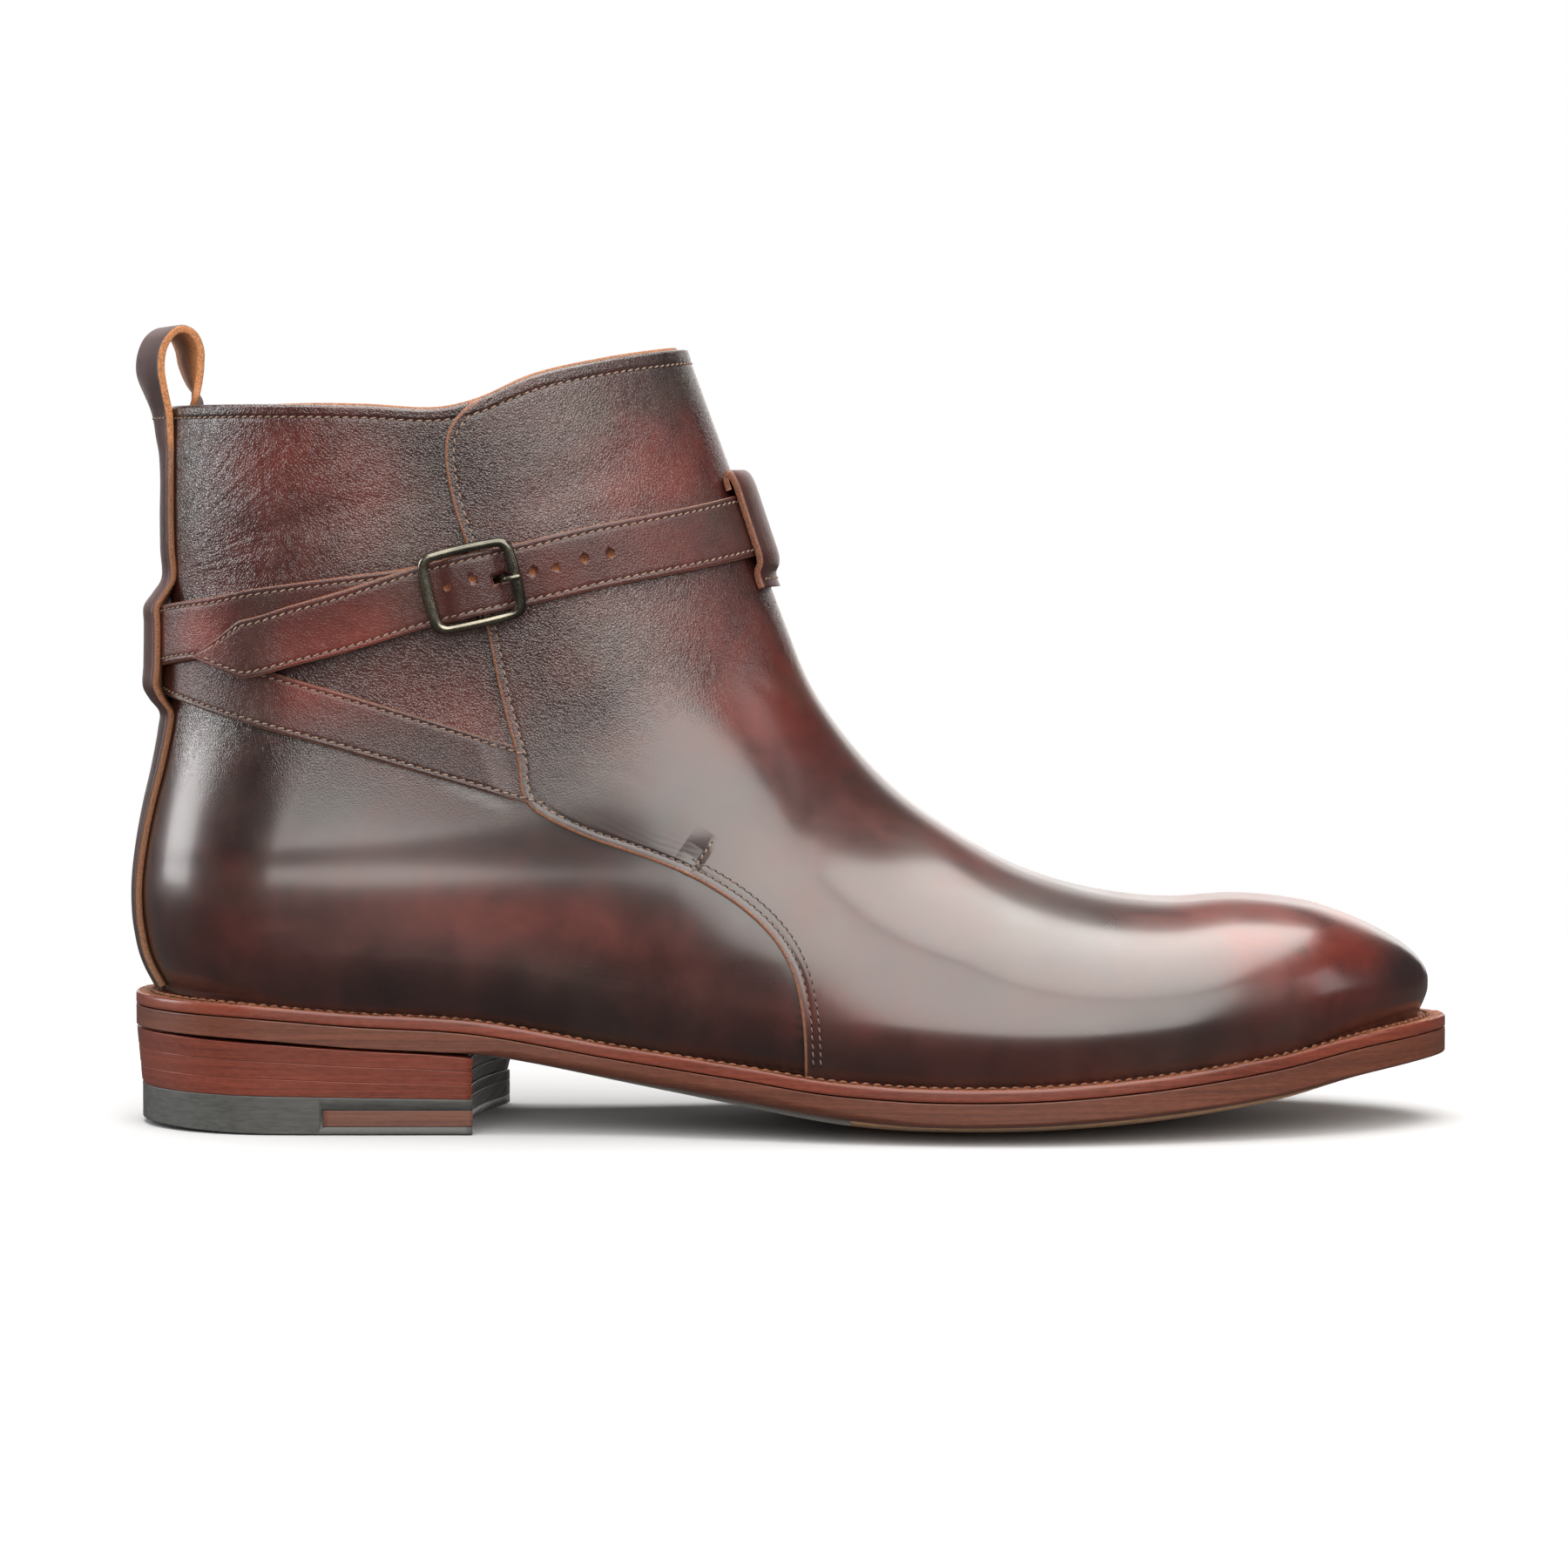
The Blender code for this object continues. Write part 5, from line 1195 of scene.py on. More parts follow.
def build_front_piece():
    levels = fine_levels()
    inward = np.array([0.0, 0.0, 0.0, 0.12, 0.28, 0.5, 0.8, 1.1, 1.5, 1.8, 2.1, 2.4, 2.8, 3.4, 4.2, 5.4]) / 1000
    columns = 110
    rows, normals = [], []
    for level in levels:
        p, n = ring_at(level)
        half = len(p) // 2
        outer = p[: half + 1]
        inner = np.concatenate([p[half:], p[:1]])
        n_outer = n[: half + 1]
        n_inner = np.concatenate([n[half:], n[:1]])
        d = edge_distance(outer[:, 0], outer[:, 2])
        ahead = np.nonzero(d < 0)[0]
        k = ahead[-1] if len(ahead) else 0
        start = k + d[k] / (d[k] - d[k + 1])
        at = np.concatenate([[start], np.arange(int(start) + 1, half + 1)])
        line = []
        for points, normal in ((outer, n_outer), (inner[::-1], n_inner[::-1])):
            q = sampled(at, np.arange(half + 1), points)
            m = sampled(at, np.arange(half + 1), normal)
            s = run_length(q)
            spread = inward[-1] + (s[-1] - inward[-1]) * np.linspace(0, 1, columns) ** 1.5
            where = np.concatenate([inward[:-1], spread])
            line.append((sampled(where, s, q), normed(sampled(where, s, m))))
        (a, an), (b, bn) = line
        rows.append(np.concatenate([a, b[::-1][1:]]))
        normals.append(np.concatenate([an, bn[::-1][1:]]))
    p, n = np.array(rows), np.array(normals)
    x, z = p[..., 0], p[..., 2]
    d = np.clip(edge_distance(x, z), 0, None)
    fold = collar_shape((1 - levels) / LEVEL_RATE)[:, None]
    h = flap_height(d) + troughs(x, z, side_of(p)) + fold * step(d, 0.0003, 0.0020)
    # The first two columns at each end go down the cut edge into the quarter.
    h[:, 0] = h[:, -1] = -0.0003
    h[:, 1] = h[:, -2] = 0.0002
    cut = np.clip(1.15 - d / 0.00105, 0, 1)
    cut[:, :2] = 1
    cut[:, -2:] = 1
    flat = normed(n[-1] * (1, 1, 0))
    ease = np.clip(h[-1] / FLAP_STEP, 0, 1)
    rim = [p[-1] + flat * (h[-1] + o * (1 + 0.5 * ease))[:, None] + (0, 0, rise) for o, rise in RIM[1:]]
    grid = np.concatenate([p + n * h[..., None], np.array(rim)])
    marks, fan = upper_marks(grid, np.concatenate([cut, np.tile(cut[-1], (len(rim), 1))]))
    ob = piece("front_piece", grid, grid_faces(*grid.shape[:2]), ("upper",), (UPPER,), None, marks)
    add_vector(ob, "fan", fan)


# Oxblood clouds and dark burnish of the straps, the same columns as CLOUDS.
STRAP_CLOUDS = [
    (0.155, 0.600, 0.050, 0.040, 15, 1.10, -1), (0.200, 0.660, 0.030, 0.030, 15, 0.50, -1),
    (0.060, 0.640, 0.030, 0.030, 15, 0.90, -1), (0.400, 0.730, 0.050, 0.040, 10, 0.45, 0),
    (0.330, 0.700, 0.020, 0.030, 10, 0.30, 0), (0.180, 0.545, 0.030, 0.030, 0, 0.25, 0),
    (0.140, 0.600, 0.060, 0.040, 10, 0.80, 1), (0.300, 0.690, 0.050, 0.040, 10, 0.60, 1),
]
STRAP_SHADES = [
    (0.250, 0.500, 0.040, 0.050, -10, 0.35, 0), (0.350, 0.720, 0.020, 0.030, 0, 0.30, 0),
    (0.100, 0.610, 0.020, 0.030, 0, 0.30, 0),
]


def plain_marks(cut, grain, red=0.0, dark=0.0):
    """Marks of a strap or band without creases."""
    marks = {"red": red, "dark": dark, "cut": cut, "crease": 0.0, "grain": grain}
    return {key: np.broadcast_to(value, cut.shape) for key, value in marks.items()}


def strap_marks(p, cut):
    where = p[..., 0], p[..., 2], side_of(p)
    return plain_marks(cut, 0.9, patches(STRAP_CLOUDS, *where), patches(STRAP_SHADES, *where))


# Holes along the strap on the outer side: x and z as shares, in side view.
HOLES = [(0.2455, 0.7008), (0.2650, 0.7115), (0.3085, 0.7190), (0.3245, 0.7235), (0.3440, 0.7330), (0.3625, 0.7385)]


def side_turn(x, z):
    """Turn of a place in side view, on the outer side."""
    g = (x - heel_x(z)) / (ridge_x(z) - heel_x(z))
    return math.acos(1 - 2 * np.clip(g, 0, 1)) / math.pi


def cutter(name, bodies):
    """Cutting bodies, each a closed loft of rings, joined into one mesh."""
    points, faces = [], []
    for rings in bodies:
        start = len(points)
        n, k = len(rings), len(rings[0])
        points += [tuple(np.array(v) + SHIFT) for ring in rings for v in ring]
        faces += [tuple(start + v for v in f) for f in loft_faces(n, k)]
    mesh = bpy.data.meshes.new(name)
    mesh.from_pydata(points, [], faces)
    bm = bmesh.new()
    bm.from_mesh(mesh)
    bmesh.ops.recalc_face_normals(bm, faces=bm.faces)
    for f in bm.faces:
        f.material_index = 1
        f.smooth = True
    bm.to_mesh(mesh)
    bm.free()
    ob = bpy.data.objects.new(name, mesh)
    bpy.context.scene.collection.objects.link(ob)
    return ob


def cut_out(target, tool):
    mod = target.modifiers.new("holes", "BOOLEAN")
    mod.operation = "DIFFERENCE"
    mod.solver = "EXACT"
    mod.object = tool
    bpy.context.view_layer.update()
    graph = bpy.context.evaluated_depsgraph_get()
    mesh = bpy.data.meshes.new_from_object(target.evaluated_get(graph))
    target.modifiers.clear()
    target.data = mesh
    bpy.data.objects.remove(tool)


def build_straps():
    straps = []
    for name, rows, steps in (("strap_long", STRAP_LONG, 430), ("strap_chape", STRAP_CHAPE, 230)):
        p, cut, low, high = strap_rows(rows, steps)
        straps.append(piece(name + "_dressed", p, loft_faces(*p.shape[:2]), (name,), (STRAP, EYELET), None,
                            strap_marks(p, cut)))
        sew(name + "_dressed_stitches", [low, high], TAN_THREAD, NEEDLE_HOLE_SHADE, "strap", slant=0.25)
    c = smooth(STRAP_LONG, 12)
    bodies = []
    for hx, hz in HOLES:
        x, z = hx * SOLE_LENGTH, hz * FRONT_HEIGHT
        a = side_turn(x, z)
        at = np.array([a])
        n = turn_normal(at, np.array([z]))[0]
        q = turn_point(at, np.array([z]))[0]
        gap = np.interp(a - 2, c[::-1, 0], c[::-1, 2]) * STRAP_WIDTH
        t = normed(np.cross(n, [0, 0, 1.0]))
        b = np.cross(n, t)
        ring = [(math.cos(i * math.pi / 10), math.sin(i * math.pi / 10)) for i in range(20)]
        bodies.append([[q + n * (gap + o) + (t * u + b * v) * r for u, v in ring]
                       for o, r in ((0.00035, 0.00062), (0.0015, 0.00072), (0.00175, 0.00085), (0.0026, 0.00110))])
    frame_at = buckle_frame()
    r = PRONG_DIAMETER / 2 + GAP
    t0, t1 = (t * BUCKLE_WINDOW_LENGTH for t in PRONG_HOLE)
    bodies.append([[local(frame_at, t, b, o) for t, b in ((t0, -r), (t1, -r), (t1, r), (t0, r))]
                   for o in (0.0018, BUCKLE_LIFT + BUCKLE_DEPTH)])
    cut_out(straps[0], cutter("strap holes", bodies))


def patch_points(y, z, middle):
    """Points and normals at distances y along the shaft from a middle turn, at one height."""
    t = np.interp(y, *arc_turns(z, middle, 0.4))
    zz = np.full_like(t, z)
    return turn_point(t, zz), turn_normal(t, zz)


def smoothed_rows(rows, per):
    flat = np.array(rows).reshape(len(rows), -1)
    return smooth(flat, per).reshape(-1, *np.array(rows).shape[1:])


def build_backstay():
    """The strip up the back, its tunnel over the straps and its end turned over as the pull loop."""
    y, up, cut = band_profile(BACKSTAY_WIDTH / 2, BACKSTAY_THICKNESS, 7, False)
    over = 2 * (STRAP_THICKNESS + GAP)
    rows = []
    for z, lift in BACKSTAY:
        ease = GAP * (1 - step(z, 0.222, 0.333))
        p, n = patch_points(y, z * FRONT_HEIGHT, 0.0)
        rows.append(p + n * (GAP + ease + over * lift + up)[:, None])
    root = LOOP[0][1] * FRONT_HEIGHT
    curve = turn_point(np.interp(y, *arc_turns(root, 0.0, 0.4)), np.full_like(y, root))
    curl = curve[:, 0] - heel_x(root)
    c = smooth(LOOP, 1) * (BACKSTAY_WIDTH, FRONT_HEIGHT, 1.0, 1.0)
    for (shift, z, twist, curved), (dx, dz) in zip(c, tangents(c[:, :2])):
        a = LOOP_TWIST * twist
        off = BACKSTAY_THICKNESS / 2 - up
        fwd = shift + off * dz + curl * curved
        rows.append(np.stack([heel_x(z) + fwd * math.cos(a) + y * math.sin(a),
                              fwd * math.sin(a) - y * math.cos(a), z - off * dx], axis=1))
    for z in LOOP_END:
        p, n = patch_points(y, z * FRONT_HEIGHT, 0.0)
        rows.append(p + n * (-(WALL + 2 * GAP) - up)[:, None])
    rows = smoothed_rows(rows, 7)
    m, k = rows.shape[:2]
    z = rows[..., 2]
    # The cut edge is pale at the loop and darker further down.
    pale = 0.42 + 0.58 * step(z, FRONT_HEIGHT * 0.86, FRONT_HEIGHT * 0.93)
    piece("backstay_and_pull_loop", rows, loft_faces(m, k), ("backstay",), (BACKSTAY_MAT,), None,
          plain_marks(cut * pale, 0.5))
    # The loop is sewn across at its foot.
    apex = int(np.argmax(z.mean(axis=1)))
    at = int(np.argmin(np.abs(z[:apex].mean(axis=1) - LOOP_ROW * FRONT_HEIGHT)))
    line = []
    for i in np.nonzero((cut == 0) & (up > BACKSTAY_THICKNESS * 0.97))[0]:
        n = normed(np.cross(rows[at, i + 1] - rows[at, i - 1], rows[at + 1, i] - rows[at - 1, i]))
        n = n * (-1 if n[0] > 0 else 1)
        line.append((rows[at, i] - n * 0.00002, n))
    sew("loop_stitches", [line], TAN_THREAD, NEEDLE_HOLE_SHADE, "strap", pitch=0.0019, length=0.0015)


def build_keeper():
    y, up, cut = band_profile(KEEPER_WIDTH / 2, STRAP_THICKNESS, 9, False)
    over = STRAP_THICKNESS + GAP
    mid = STRAP_THICKNESS / 2
    base = FLAP_STEP + GAP + mid
    c = smooth([(z * FRONT_HEIGHT, base + over * o) for z, o in KEEPER], 7)
    rows = []
    for (z, o), (dz, do) in zip(c, tangents(c)):
        p, n = patch_points(y, z, 1.0)
        rise = normed(np.cross(np.cross(n, np.array([0, 0, 1.0])), n))
        rows.append(p + n * (o + dz * (up - mid))[:, None] - rise * (do * (up - mid))[:, None])
    piece("front_keeper_dressed", rows, loft_faces(len(rows), len(y)), ("front_keeper",), (STRAP,), None,
          plain_marks(np.tile(cut, (len(rows), 1)), 0.6, 0.15))
    lines = []
    for height in KEEPER_ROWS:
        yy = np.linspace(-1, 1, 14) * (KEEPER_WIDTH / 2 - STITCH_INSET)
        p, n = patch_points(yy, height * FRONT_HEIGHT, 1.0)
        lines.append([(q + v * (FLAP_STEP + GAP + STRAP_THICKNESS - 0.00005), v) for q, v in zip(p, n)])
    sew("keeper_stitches", lines, TAN_THREAD, NEEDLE_HOLE_SHADE, "strap", pitch=0.0017, length=0.0013)


def build_buckle():
    frame_at = buckle_frame()
    half = np.array([BUCKLE_WINDOW_LENGTH, BUCKLE_WINDOW_HEIGHT]) / 2

    def bowed(length, height, corner, amount):
        """A rounded rectangle with points along its sides, which bow out by an amount, the long ones by less."""
        loop = []
        corners = np.array(rounded_rectangle(length, height, corner, 8))
        for a, b in zip(corners, np.roll(corners, -1, axis=0)):
            k = 16 if np.linalg.norm(b - a) > 0.004 else 1
            loop += [a + (b - a) * i / k for i in range(k)]
        loop = np.array(loop)
        bow = np.clip(1 - (loop[:, ::-1] / half[::-1]) ** 2, 0, 1) * np.sign(loop) * (abs(loop) > half * 0.9)
        return loop + amount * np.array([1.0, 0.7]) * bow

    inner = bowed(BUCKLE_WINDOW_LENGTH, BUCKLE_WINDOW_HEIGHT, BUCKLE_INNER_CORNER, 0.00022)
    outer = bowed(BUCKLE_WINDOW_LENGTH + 2 * BUCKLE_END_BAR, BUCKLE_WINDOW_HEIGHT + 2 * BUCKLE_RAIL,
                  BUCKLE_OUTER_CORNER, 0.00050)
    low, depth = BUCKLE_LIFT, BUCKLE_DEPTH
    # Section of the frame, from the window out: share across, share of the depth.
    section = [(0.10, 0.0), (0.02, 0.16), (0.0, 0.42), (0.03, 0.68), (0.12, 0.88), (0.28, 0.985), (0.45, 1.0),
               (0.60, 0.995), (0.76, 0.95), (0.90, 0.80), (0.98, 0.55), (1.0, 0.30), (0.95, 0.10), (0.86, 0.0)]
    points = [local(frame_at, *(a + (b - a) * u), low + depth * v) for a, b in zip(inner, outer) for u, v in section]
    faces = loft_faces(len(inner), len(section), True)
    # Centre bar under the strap, between two posts from the rails.
    post = BUCKLE_WINDOW_HEIGHT / 2 + CENTRE_BAR * 0.55
    floor = STRAP_THICKNESS + 2 * GAP
    r = CENTRE_BAR / 2
    path = smooth([(-post, low + depth * 0.4), (-post, floor + r * 1.7), (-post + r * 0.9, floor + r), (0.0, floor + r),
                   (post - r * 0.9, floor + r), (post, floor + r * 1.7), (post, low + depth * 0.4)], 4)
    start = len(points)
    for (b, o), (db, do) in zip(path, tangents(path)):
        for i in range(12):
            u, v = r * math.cos(2 * math.pi * i / 12), r * math.sin(2 * math.pi * i / 12)
            points.append(local(frame_at, u, b - do * v, o + db * v))
    faces += [tuple(start + v for v in f) for f in loft_faces(len(path), 12)]
    piece("buckle_dressed", points, faces, ("buckle",), (METAL,))
    r = PRONG_DIAMETER / 2
    high = low + depth
    rest = high + GAP * 1.3 + r
    path = [(t * BUCKLE_WINDOW_LENGTH, o * high) for t, o in PRONG]
    path = smooth(path + [(t * BUCKLE_WINDOW_LENGTH, rest) for t in PRONG_REST], 6)
    rows = []
    for i, ((t, o), (dt, do)) in enumerate(zip(path, tangents(path))):
        u = i / (len(path) - 1)
        w = r * (1.0 - 0.12 * u) * math.sqrt(max(0.0, 1 - max(0.0, (u - 0.955) / 0.05) ** 2))
        rows.append([local(frame_at, t - do * w * 0.85 * math.sin(a), w * math.cos(a), o + dt * w * 0.85 * math.sin(a))
                     for a in np.arange(14) * 2 * math.pi / 14])
    piece("prong_dressed", rows, loft_faces(len(rows), 14), ("buckle_prong",), (METAL,))


# Sole and heel.
def fine_layer(name, start, end, inset, top, bottom, shares, stations, materials, index_of):
    """A plate with the plan of the sole, with its own rows out to the edge."""
    xs = start + (end - start) * eased(stations)
    middle = (start + end) / 2
    across = len(shares) - 1
    points, index, faces, kind = [], {}, [], []

    def vertex(i, j, side, level, f, z_of):
        inner = i not in (0, stations)
        key = (i, j, side if j and inner else 0, level)
        if key not in index:
            w = float(plan_half(xs[i], side, inset(xs[i]), start, end)) if inner else 0.0
            t = (xs[i] - middle) / (end - middle)
            xx = xs[i] - t**5 / abs(t or 1.0) * (1 - f) * HEEL_SEAT_WIDTH * 0.4
            yy = float(plan_mid(xs[i])) + side * w * f
            points.append((xx, yy, float(z_of(xx, f))))
            index[key] = len(points) - 1
        return index[key]

    part_way = lambda t: (lambda x, f: bottom(x, f) + (top(x, f) - bottom(x, f)) * t)
    wall = ((0, bottom), (2, part_way(0.04)), (3, part_way(0.96)), (1, top))
    for side in (-1, 1):
        for i in range(stations):
            for level, z_of in ((0, bottom), (1, top)):
                for j in range(across):
                    quad = [vertex(a, b, side, level, shares[b], z_of) for a, b in
                            ((i, j), (i + 1, j), (i + 1, j + 1), (i, j + 1))]
                    quad = [q for k, q in enumerate(quad) if q not in quad[:k]]
                    faces.append(tuple(quad if (side > 0) == (level > 0) else quad[::-1]))
                    kind.append(index_of(xs[i], shares[j + 1], level))
            # The edge has rows close to its corners, so that it stays flat between them.
            for (m0, z0), (m1, z1) in zip(wall[:-1], wall[1:]):
                a = [vertex(k, across, side, m, 1.0, z) for k, m, z in
                     ((i, m0, z0), (i + 1, m0, z0), (i + 1, m1, z1), (i, m1, z1))]
                faces.append(tuple(a if side < 0 else a[::-1]))
                kind.append(index_of(xs[i], 1.0, 2))
    piece(name + "_dressed", points, faces, (name,), materials, kind, {"dark": np.zeros(len(points))})


def edge_round(f, width):
    """How far the edge of a plate is rounded away, in shares out to the edge; width is the share that is round."""
    t = np.clip((f - (1 - width)) / width, 0, 1)
    return 1 - math.sqrt(max(0.0, 1 - t * t))


def welt_loops(stations=300):
    def edge_loop(start, end, inset):
        xs = start + (end - start) * eased(stations)
        loop = []
        for side, order in ((-1, range(0, stations + 1)), (1, range(stations - 1, 0, -1))):
            for i in order:
                w = 0.0 if i in (0, stations) else float(plan_half(xs[i], side, inset(xs[i]), start, end))
                loop.append((xs[i], float(plan_mid(xs[i])) + side * w))
        return np.array(loop)

    outer = edge_loop(0.0, SOLE_LENGTH, lambda x: 0.0)
    return outer, edge_loop(back_x[0] + WALL, front_x[0] - WALL, lambda x: float(shelf(x)) + WALL)


def build_welt():
    outer, inner = welt_loops()
    rows = []
    rnd = np.random.default_rng(5)
    count = len(outer)
    # Unevenness of the stitched strip, broad and fine, the same where the loop closes.
    wobble, fine = (np.convolve(np.tile(rnd.normal(0, 1, count), 3), np.ones(w) / w, "same")[count: 2 * count]
                    for w in (5, 3))
    # Share in from the outer edge, depth below the top.
    section = [(0.012, 1.0), (0.0, 0.95), (0.0, 0.80), (0.0, 0.30), (0.008, 0.14), (0.03, 0.05), (0.07, 0.0),
               (0.16, 0.0), (0.26, 0.0), (0.34, 0.06), (0.40, 0.06), (0.48, 0.0), (0.60, 0.0), (0.74, 0.0),
               (0.86, 0.0), (1.0, 0.0), (1.0, 1.0)]
    for i, (a, b) in enumerate(zip(outer, inner)):
        row = []
        for f, depth in section:
            x, y = a + (b - a) * f
            z = float(welt_top(a[0] + (b[0] - a[0]) * min(f, 1.0))) - WELT_THICKNESS * depth
            if 0.05 < f < 0.95 and depth < 0.2:
                z += 0.00012 * wobble[i] + 0.00010 * fine[(i * 7 + int(f * 50)) % len(fine)] - 0.00005
            row.append((x, y, z))
        rows.append(row)
    k = len(section)
    index = np.where(np.arange(count * k) % k < 6, 1, 0)
    piece("welt_dressed", rows, loft_faces(count, k, True), ("welt",), (WELT_TOP_MAT, WELT_EDGE), index,
          {"dark": np.zeros((count, k))})
    line = []
    for x, y in outer + (inner - outer) * 0.42:
        line.append((np.array([x, y, float(welt_top(x)) - 0.00002]), np.array([0, 0, 1.0])))
    sew("welt_stitches", [line], WELT_THREAD, NEEDLE_HOLE_SHADE, "welt", width=0.00075, slant=0.35, pitch=0.0026, length=0.0021,
        rise=0.00016)


# Where the rounded edge of the waist fades into the forefoot, and where the tread starts, in metres from the heel.
WAIST_END = (0.150, 0.190)
TREAD_START = 0.165


def build_sole():
    shares = [0.0, 0.15, 0.3, 0.45, 0.6, 0.72, 0.82, 0.89, 0.93, 0.955, 0.975, 0.988, 0.996, 1.0]
    waist = lambda x: float(step(x, BREAST_X * 0.9, BREAST_X * 1.1) * (1 - step(x, *WAIST_END)))

    def bottom(x, f):
        round_off = 0.00005 + 0.00055 * float(step(x, BREAST_X * 0.98, BREAST_X * 1.1)) + 0.0016 * waist(x)
        return outsole_bottom(x, f) + round_off * edge_round(f, 0.05 + 0.05 * waist(x))

    def top(x, f):
        return outsole_top(x) - 0.00012 * edge_round(f, 0.01)

    def index_of(x, f, level):
        if level == 2 or f > 0.97:
            return 0
        return 1 if level == 0 and x < TREAD_START else 2

    fine_layer("outsole", 0.0, SOLE_LENGTH, lambda x: 0.0, top, bottom, shares, 220, (SOLE_EDGE, WAIST, TREAD),
               index_of)
    inner = lambda x: float(shelf(x)) + WALL + 2 * GAP
    fine_layer("insole", back_x[0] + WALL + 2 * GAP, front_x[0] - WALL - 2 * GAP, inner,
               lambda x, f: welt_top(x) + INSOLE_RISE - 0.0008 * (1 - f) ** 2, lambda x, f: outsole_top(x) + 2 * GAP,
               [0.0, 0.25, 0.5, 0.75, 0.9, 1.0], 110, (SOCK,), lambda x, f, level: 0)


def fine_heel(node_name, top, bottom, inset, materials, soft, begin=None, lean=0.0):
    """A slice of the heel with softened edges; lean draws its foot in. begin is where it starts, if not at the back."""
    count = 44
    x = inset + (BREAST_X - inset) * (1 - np.cos(math.pi / 2 * np.arange(count + 1) / count))
    if begin is not None:
        x = np.linspace(begin, BREAST_X, 24)
    across = 31
    loops = []
    for extra in (lean + soft, lean, lean, 0.0, 0.0, soft):
        w = [plan_half(x, side, inset + extra, inset + extra, SOLE_LENGTH) for side in (-1, 1)]
        outer = [(x[i] + (extra if i == 0 else 0), -w[0][i]) for i in range(len(x))]
        inner = [(x[i] + (extra if i == 0 else 0), w[1][i]) for i in range(len(x))]
        outer[-1] = (float(breast(-w[0][-1])) - extra, -w[0][-1])
        inner[-1] = (float(breast(w[1][-1])) - extra, w[1][-1])
        face = [(float(breast(v)) - extra, v) for v in np.linspace(-w[0][-1], w[1][-1], across)[1:-1]]
        if begin is None:
            inner = inner[1:]
        loops.append(outer + face + inner[::-1])
    front = range(len(x) - 1, len(x) + across - 2)
    n = len(loops[0])
    levels = ((bottom, 0.0), (bottom, soft), (bottom, 3 * soft), (top, -3 * soft), (top, -soft), (top, 0.0))
    rows = [[(a, b, float(z_of(a)) + lift) for a, b in loop] for loop, (z_of, lift) in zip(loops, levels)]
    # Edge, front face, underside and top.
    index = [1 if i % n in front else 0 for i in range(5 * n)] + [2, 0]
    return piece(node_name + "_dressed", rows, loft_faces(6, n), (node_name,), materials, index,
                 {"dark": np.zeros((6, n))})


# How far each joint of the heel stands in from the outsole's edge, from the top lift up.
LIFT_EDGES = (TOP_LIFT_INSET, 0.00095, 0.00055, 0.00015)


def build_heel():
    for k in range(3):
        low, high = heel_level(k), heel_level(k + 1)
        foot, head = LIFT_EDGES[k], LIFT_EDGES[k + 1]
        fine_heel(f"heel_lift_{k + 1}", lambda x, h=high, k=k: h(x) - (0.00003 if k < 2 else 0), low, head,
                  (HEEL_EDGE, BREAST, HEEL_EDGE), 0.00006, lean=foot - head)
    low, high, side = INSERT_BOTTOM, INSERT_BOTTOM + INSERT_HEIGHT, 0.1
    slot_box = cutter("insert slot", [[[(x, -side, low), (x, side, low), (x, side, high), (x, -side, high)]
                                       for x in (INSERT_X, BREAST_X * 1.4)]])
    lift = fine_heel("top_lift", lambda x: heel_level(0)(x) - 0.00005, floor_line, TOP_LIFT_INSET,
                     (RUBBER, BREAST, RUBBER), 0.00012)
    cut_out(lift, slot_box)
    fine_heel("top_lift_insert", lambda x: high - 0.00008, lambda x: low + 0.00008, TOP_LIFT_INSET,
              (INSERT, BREAST, INSERT), 0.00008, begin=INSERT_X + 0.0001)


# Stitches on the upper.
def flap_line(inset):
    """The line in side view at a distance in from the edge of the front piece."""
    e = smooth(FLAP_EDGE, 8) * (SOLE_LENGTH, FRONT_HEIGHT)
    t = tangents(e)
    return e + inset * np.stack([-t[:, 1], t[:, 0]], axis=1)


def on_upper(x, z, side, lift):
    """A place in side view put on the upper, with the normal there."""
    h = 0.0008
    at = lambda a, b: np.array([a, float(side_y(np.array(a), np.array(b), side)), b])
    p = at(x, z)
    n = np.cross(at(x + h, z) - at(x - h, z), at(x, z + h) - at(x, z - h))
    n = normed(n * (-1 if n[1] * side < 0 else 1))
    return p + n * lift, n


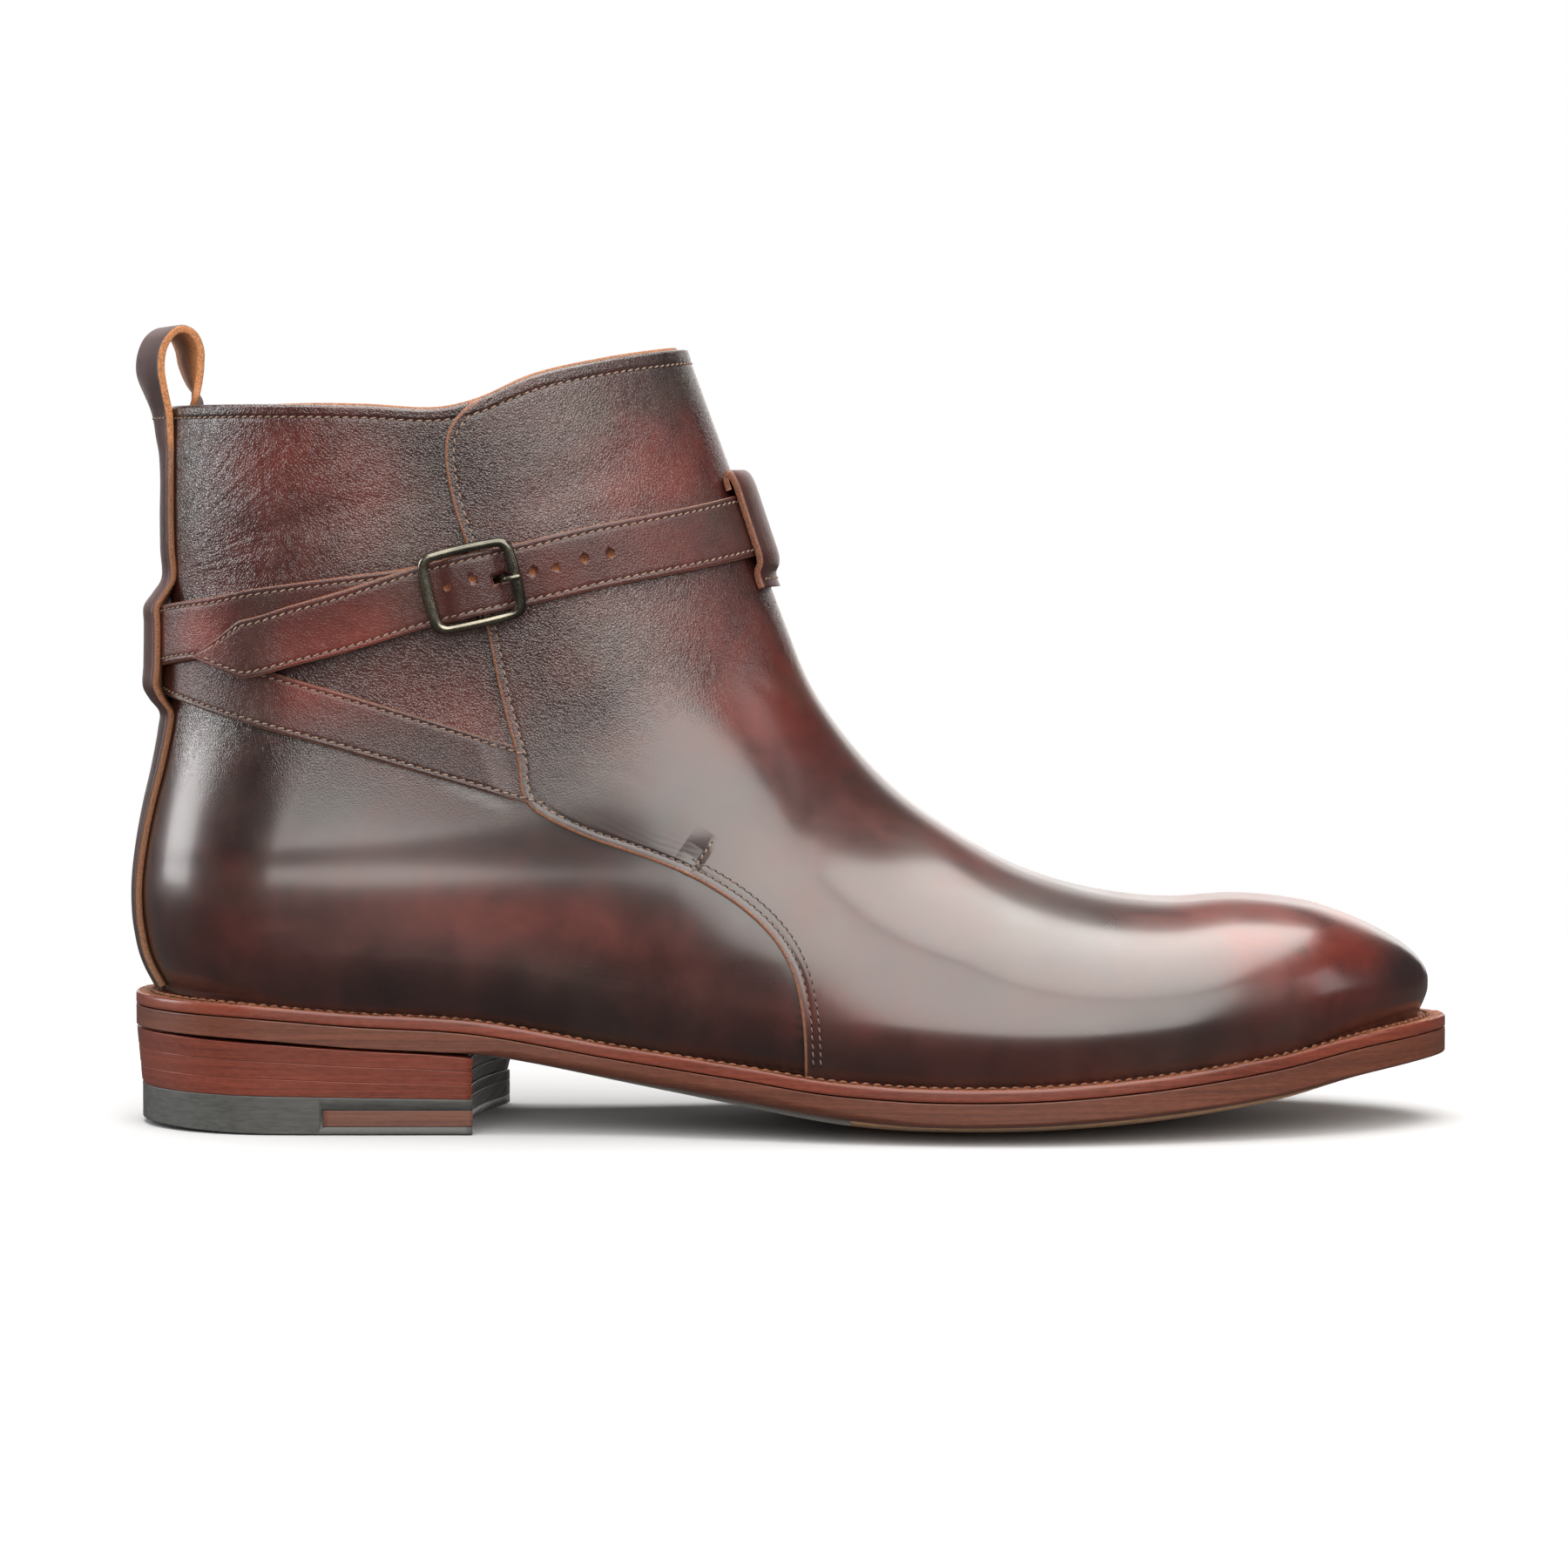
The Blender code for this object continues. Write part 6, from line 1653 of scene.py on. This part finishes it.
def sew_upper():
    tan, dark = [], []
    first, second = (flap_line(inset) for inset in FLAP_ROWS)
    first, second = (line[line[:, 1] > welt_top(line[:, 0]) + OVER_WELT] for line in (first, second))
    top = first[first[:, 1] > DARK_BELOW * FRONT_HEIGHT]
    top = [q for q in top if q[1] < collar_height(q[0]) - 0.0022]
    low = first[first[:, 1] <= DARK_BELOW * FRONT_HEIGHT]
    second = second[second[:, 0] > SECOND_ROW_START * SOLE_LENGTH]
    for side in (-1.0, 1.0):
        tan.append([on_upper(x, z, side, FLAP_STEP - 0.00004) for x, z in top])
        dark.append([on_upper(x, z, side, FLAP_STEP - 0.00002) for x, z in low])
        dark.append([on_upper(x, z, side, FLAP_STEP + 0.00006) for x, z in second])
    level = 1 - COLLAR_ROW * LEVEL_RATE
    trio = upper_grid(400, [level - 0.002, level, level + 0.002])
    p, n = trio[1], ring_normals(*trio)
    d = edge_distance(p[:, 0], p[:, 2])
    half = len(p) // 2
    for order in (range(half), range(len(p) - 1, half, -1)):
        tan.append([(p[i] - n[i] * 0.00002, n[i]) for i in order if d[i] < -0.0004])
    tan.append([(p[i] + n[i] * (FLAP_STEP - 0.00002), n[i]) for i in range(len(p)) if d[i] > FLAP_ROWS[0]])
    sew("upper_stitches", tan, TAN_THREAD, NEEDLE_HOLE_SHADE, "upper")
    sew("vamp_stitches", dark, DARK_THREAD, NEEDLE_HOLE_SHADE, "upper", pitch=0.0019, length=0.0015)
    a, b = np.array(TACK) * (SOLE_LENGTH, FRONT_HEIGHT)
    tack = [[on_upper(*(a + (b - a) * t), side, FLAP_STEP - 0.00002) for t in np.linspace(0, 1, 12)]
            for side in (-1.0, 1.0)]
    sew("tack_stitches", tack, TAN_THREAD, NEEDLE_HOLE_SHADE, "upper", pitch=0.0014, length=0.0012, width=0.0005, slant=0.5)


def collar_height(x):
    ring = upper_grid(200, [1.0])[0][:201]
    return float(np.interp(x, ring[:, 0], ring[:, 2]))


build_quarter()
build_front_piece()
build_straps()
build_backstay()
build_keeper()
build_buckle()
build_welt()
build_sole()
build_heel()
sew_upper()

# Floor, light and camera. FLOOR is half the floor's width.
FLOOR = 6
floor_mesh = bpy.data.meshes.new("floor")
floor_corners = ((-FLOOR, -FLOOR), (FLOOR, -FLOOR), (FLOOR, FLOOR), (-FLOOR, FLOOR))
floor_mesh.from_pydata([(x, y, -0.0002) for x, y in floor_corners], [], [(0, 1, 2, 3)])
floor = bpy.data.objects.new("floor", floor_mesh)
bpy.context.scene.collection.objects.link(floor)
paper = bpy.data.materials.new("white paper")
paper.use_nodes = True
tree = paper.node_tree
shader = tree.nodes["Principled BSDF"]
shader.inputs["Base Color"].default_value = (0.385, 0.395, 0.41, 1)
shader.inputs["Roughness"].default_value = 0.9
shader.inputs["Specular IOR Level"].default_value = 0.1
# Away from the boot the paper goes over into the white backdrop.
where = node(tree, "ShaderNodeTexCoord").outputs["Object"]
far = node(tree, "ShaderNodeVectorMath", {0: where}, operation="LENGTH").outputs["Value"]
glow = node(tree, "ShaderNodeEmission", {"Color": (1, 1, 1, 1), "Strength": 1.0}).outputs[0]
path = node(tree, "ShaderNodeLightPath")
seen = maths(tree, "MULTIPLY", band(tree, far, 0.26, 0.60), path.outputs["Is Camera Ray"])
shade = node(tree, "ShaderNodeMixShader", {0: seen, 1: shader.outputs[0], 2: glow}).outputs[0]
# Painted reflection: in the polish the paper shows as a dim warm glow instead of its lit self, darker than it looks.
floor_reflection_glow = node(tree, "ShaderNodeEmission", {"Color": (1, 0.93, 0.86, 1), "Strength": 0.16}).outputs[0]
shade = node(tree, "ShaderNodeMixShader", {0: path.outputs["Is Glossy Ray"], 1: shade, 2: floor_reflection_glow}).outputs[0]
tree.links.new(shade, tree.nodes["Material Output"].inputs["Surface"])
floor_mesh.materials.append(paper)

world = bpy.data.worlds.new("studio")
bpy.context.scene.world = world
world.use_nodes = True
tree = world.node_tree
tree.nodes.clear()
dim = node(tree, "ShaderNodeBackground", {"Color": (1, 1, 1, 1), "Strength": 0.08}).outputs[0]
bright = node(tree, "ShaderNodeBackground", {"Color": (1, 1, 1, 1), "Strength": 1.0}).outputs[0]
ray = node(tree, "ShaderNodeLightPath").outputs["Is Camera Ray"]
sky = node(tree, "ShaderNodeMixShader", {0: ray, 1: dim, 2: bright}).outputs[0]
tree.links.new(sky, tree.nodes.new("ShaderNodeOutputWorld").inputs["Surface"])
bpy.context.scene.view_settings.view_transform = "Standard"


def softbox(name, place, aim, size, power, size_y, colour=(1, 1, 1)):
    data = bpy.data.lights.new(name, "AREA")
    data.shape = "RECTANGLE"
    data.size = size
    data.size_y = size_y
    data.energy = power
    data.color = colour
    ob = bpy.data.objects.new(name, data)
    bpy.context.scene.collection.objects.link(ob)
    ob.location = place
    ob.rotation_mode = "QUATERNION"
    ob.rotation_quaternion = (Vector(aim) - Vector(place)).to_track_quat("-Z", "Y")
    ob.visible_camera = False


WARM = (1.0, 0.96, 0.91)
softbox("front softbox", (0.20, -1.27, 0.83), (0.0, 0.0, 0.05), 1.8, 47, 1.42, WARM)
softbox("top softbox", (0.00, 0.15, 1.50), (0.0, 0.15, 0.0), 1.7, 74, 1.9, WARM)
softbox("back softbox", (0.0, 1.6, 0.42), (0.0, 0.0, 0.1), 1.8, 8, 0.8, (1.0, 0.96, 0.92))
softbox("left softbox", (-1.25, 0.10, 0.50), (-0.1, 0.0, 0.1), 0.6, 12, 0.8)
softbox("right softbox", (1.35, -0.30, 0.70), (0.1, 0.0, 0.05), 0.5, 3, 0.8)

# The photograph's angle: distance from the boot's middle plane, height, height of the point that it looks at, lens.
CAMERA_DISTANCE = 1.17
CAMERA_HEIGHT = 0.143
CAMERA_AIM = 0.0787
CAMERA_LENS = 114.7

camera_data = bpy.data.cameras.new("camera")
camera_data.lens = CAMERA_LENS
camera_data.sensor_width = 36.0
camera_data.clip_start = 0.05
camera_data.clip_end = 50
camera = bpy.data.objects.new("camera", camera_data)
bpy.context.scene.collection.objects.link(camera)
camera.location = (-0.0015, SHIFT[1] - CAMERA_DISTANCE, CAMERA_HEIGHT)
camera.rotation_euler = (math.radians(90) - math.atan2(CAMERA_HEIGHT - CAMERA_AIM, CAMERA_DISTANCE), 0, 0)
bpy.context.scene.camera = camera
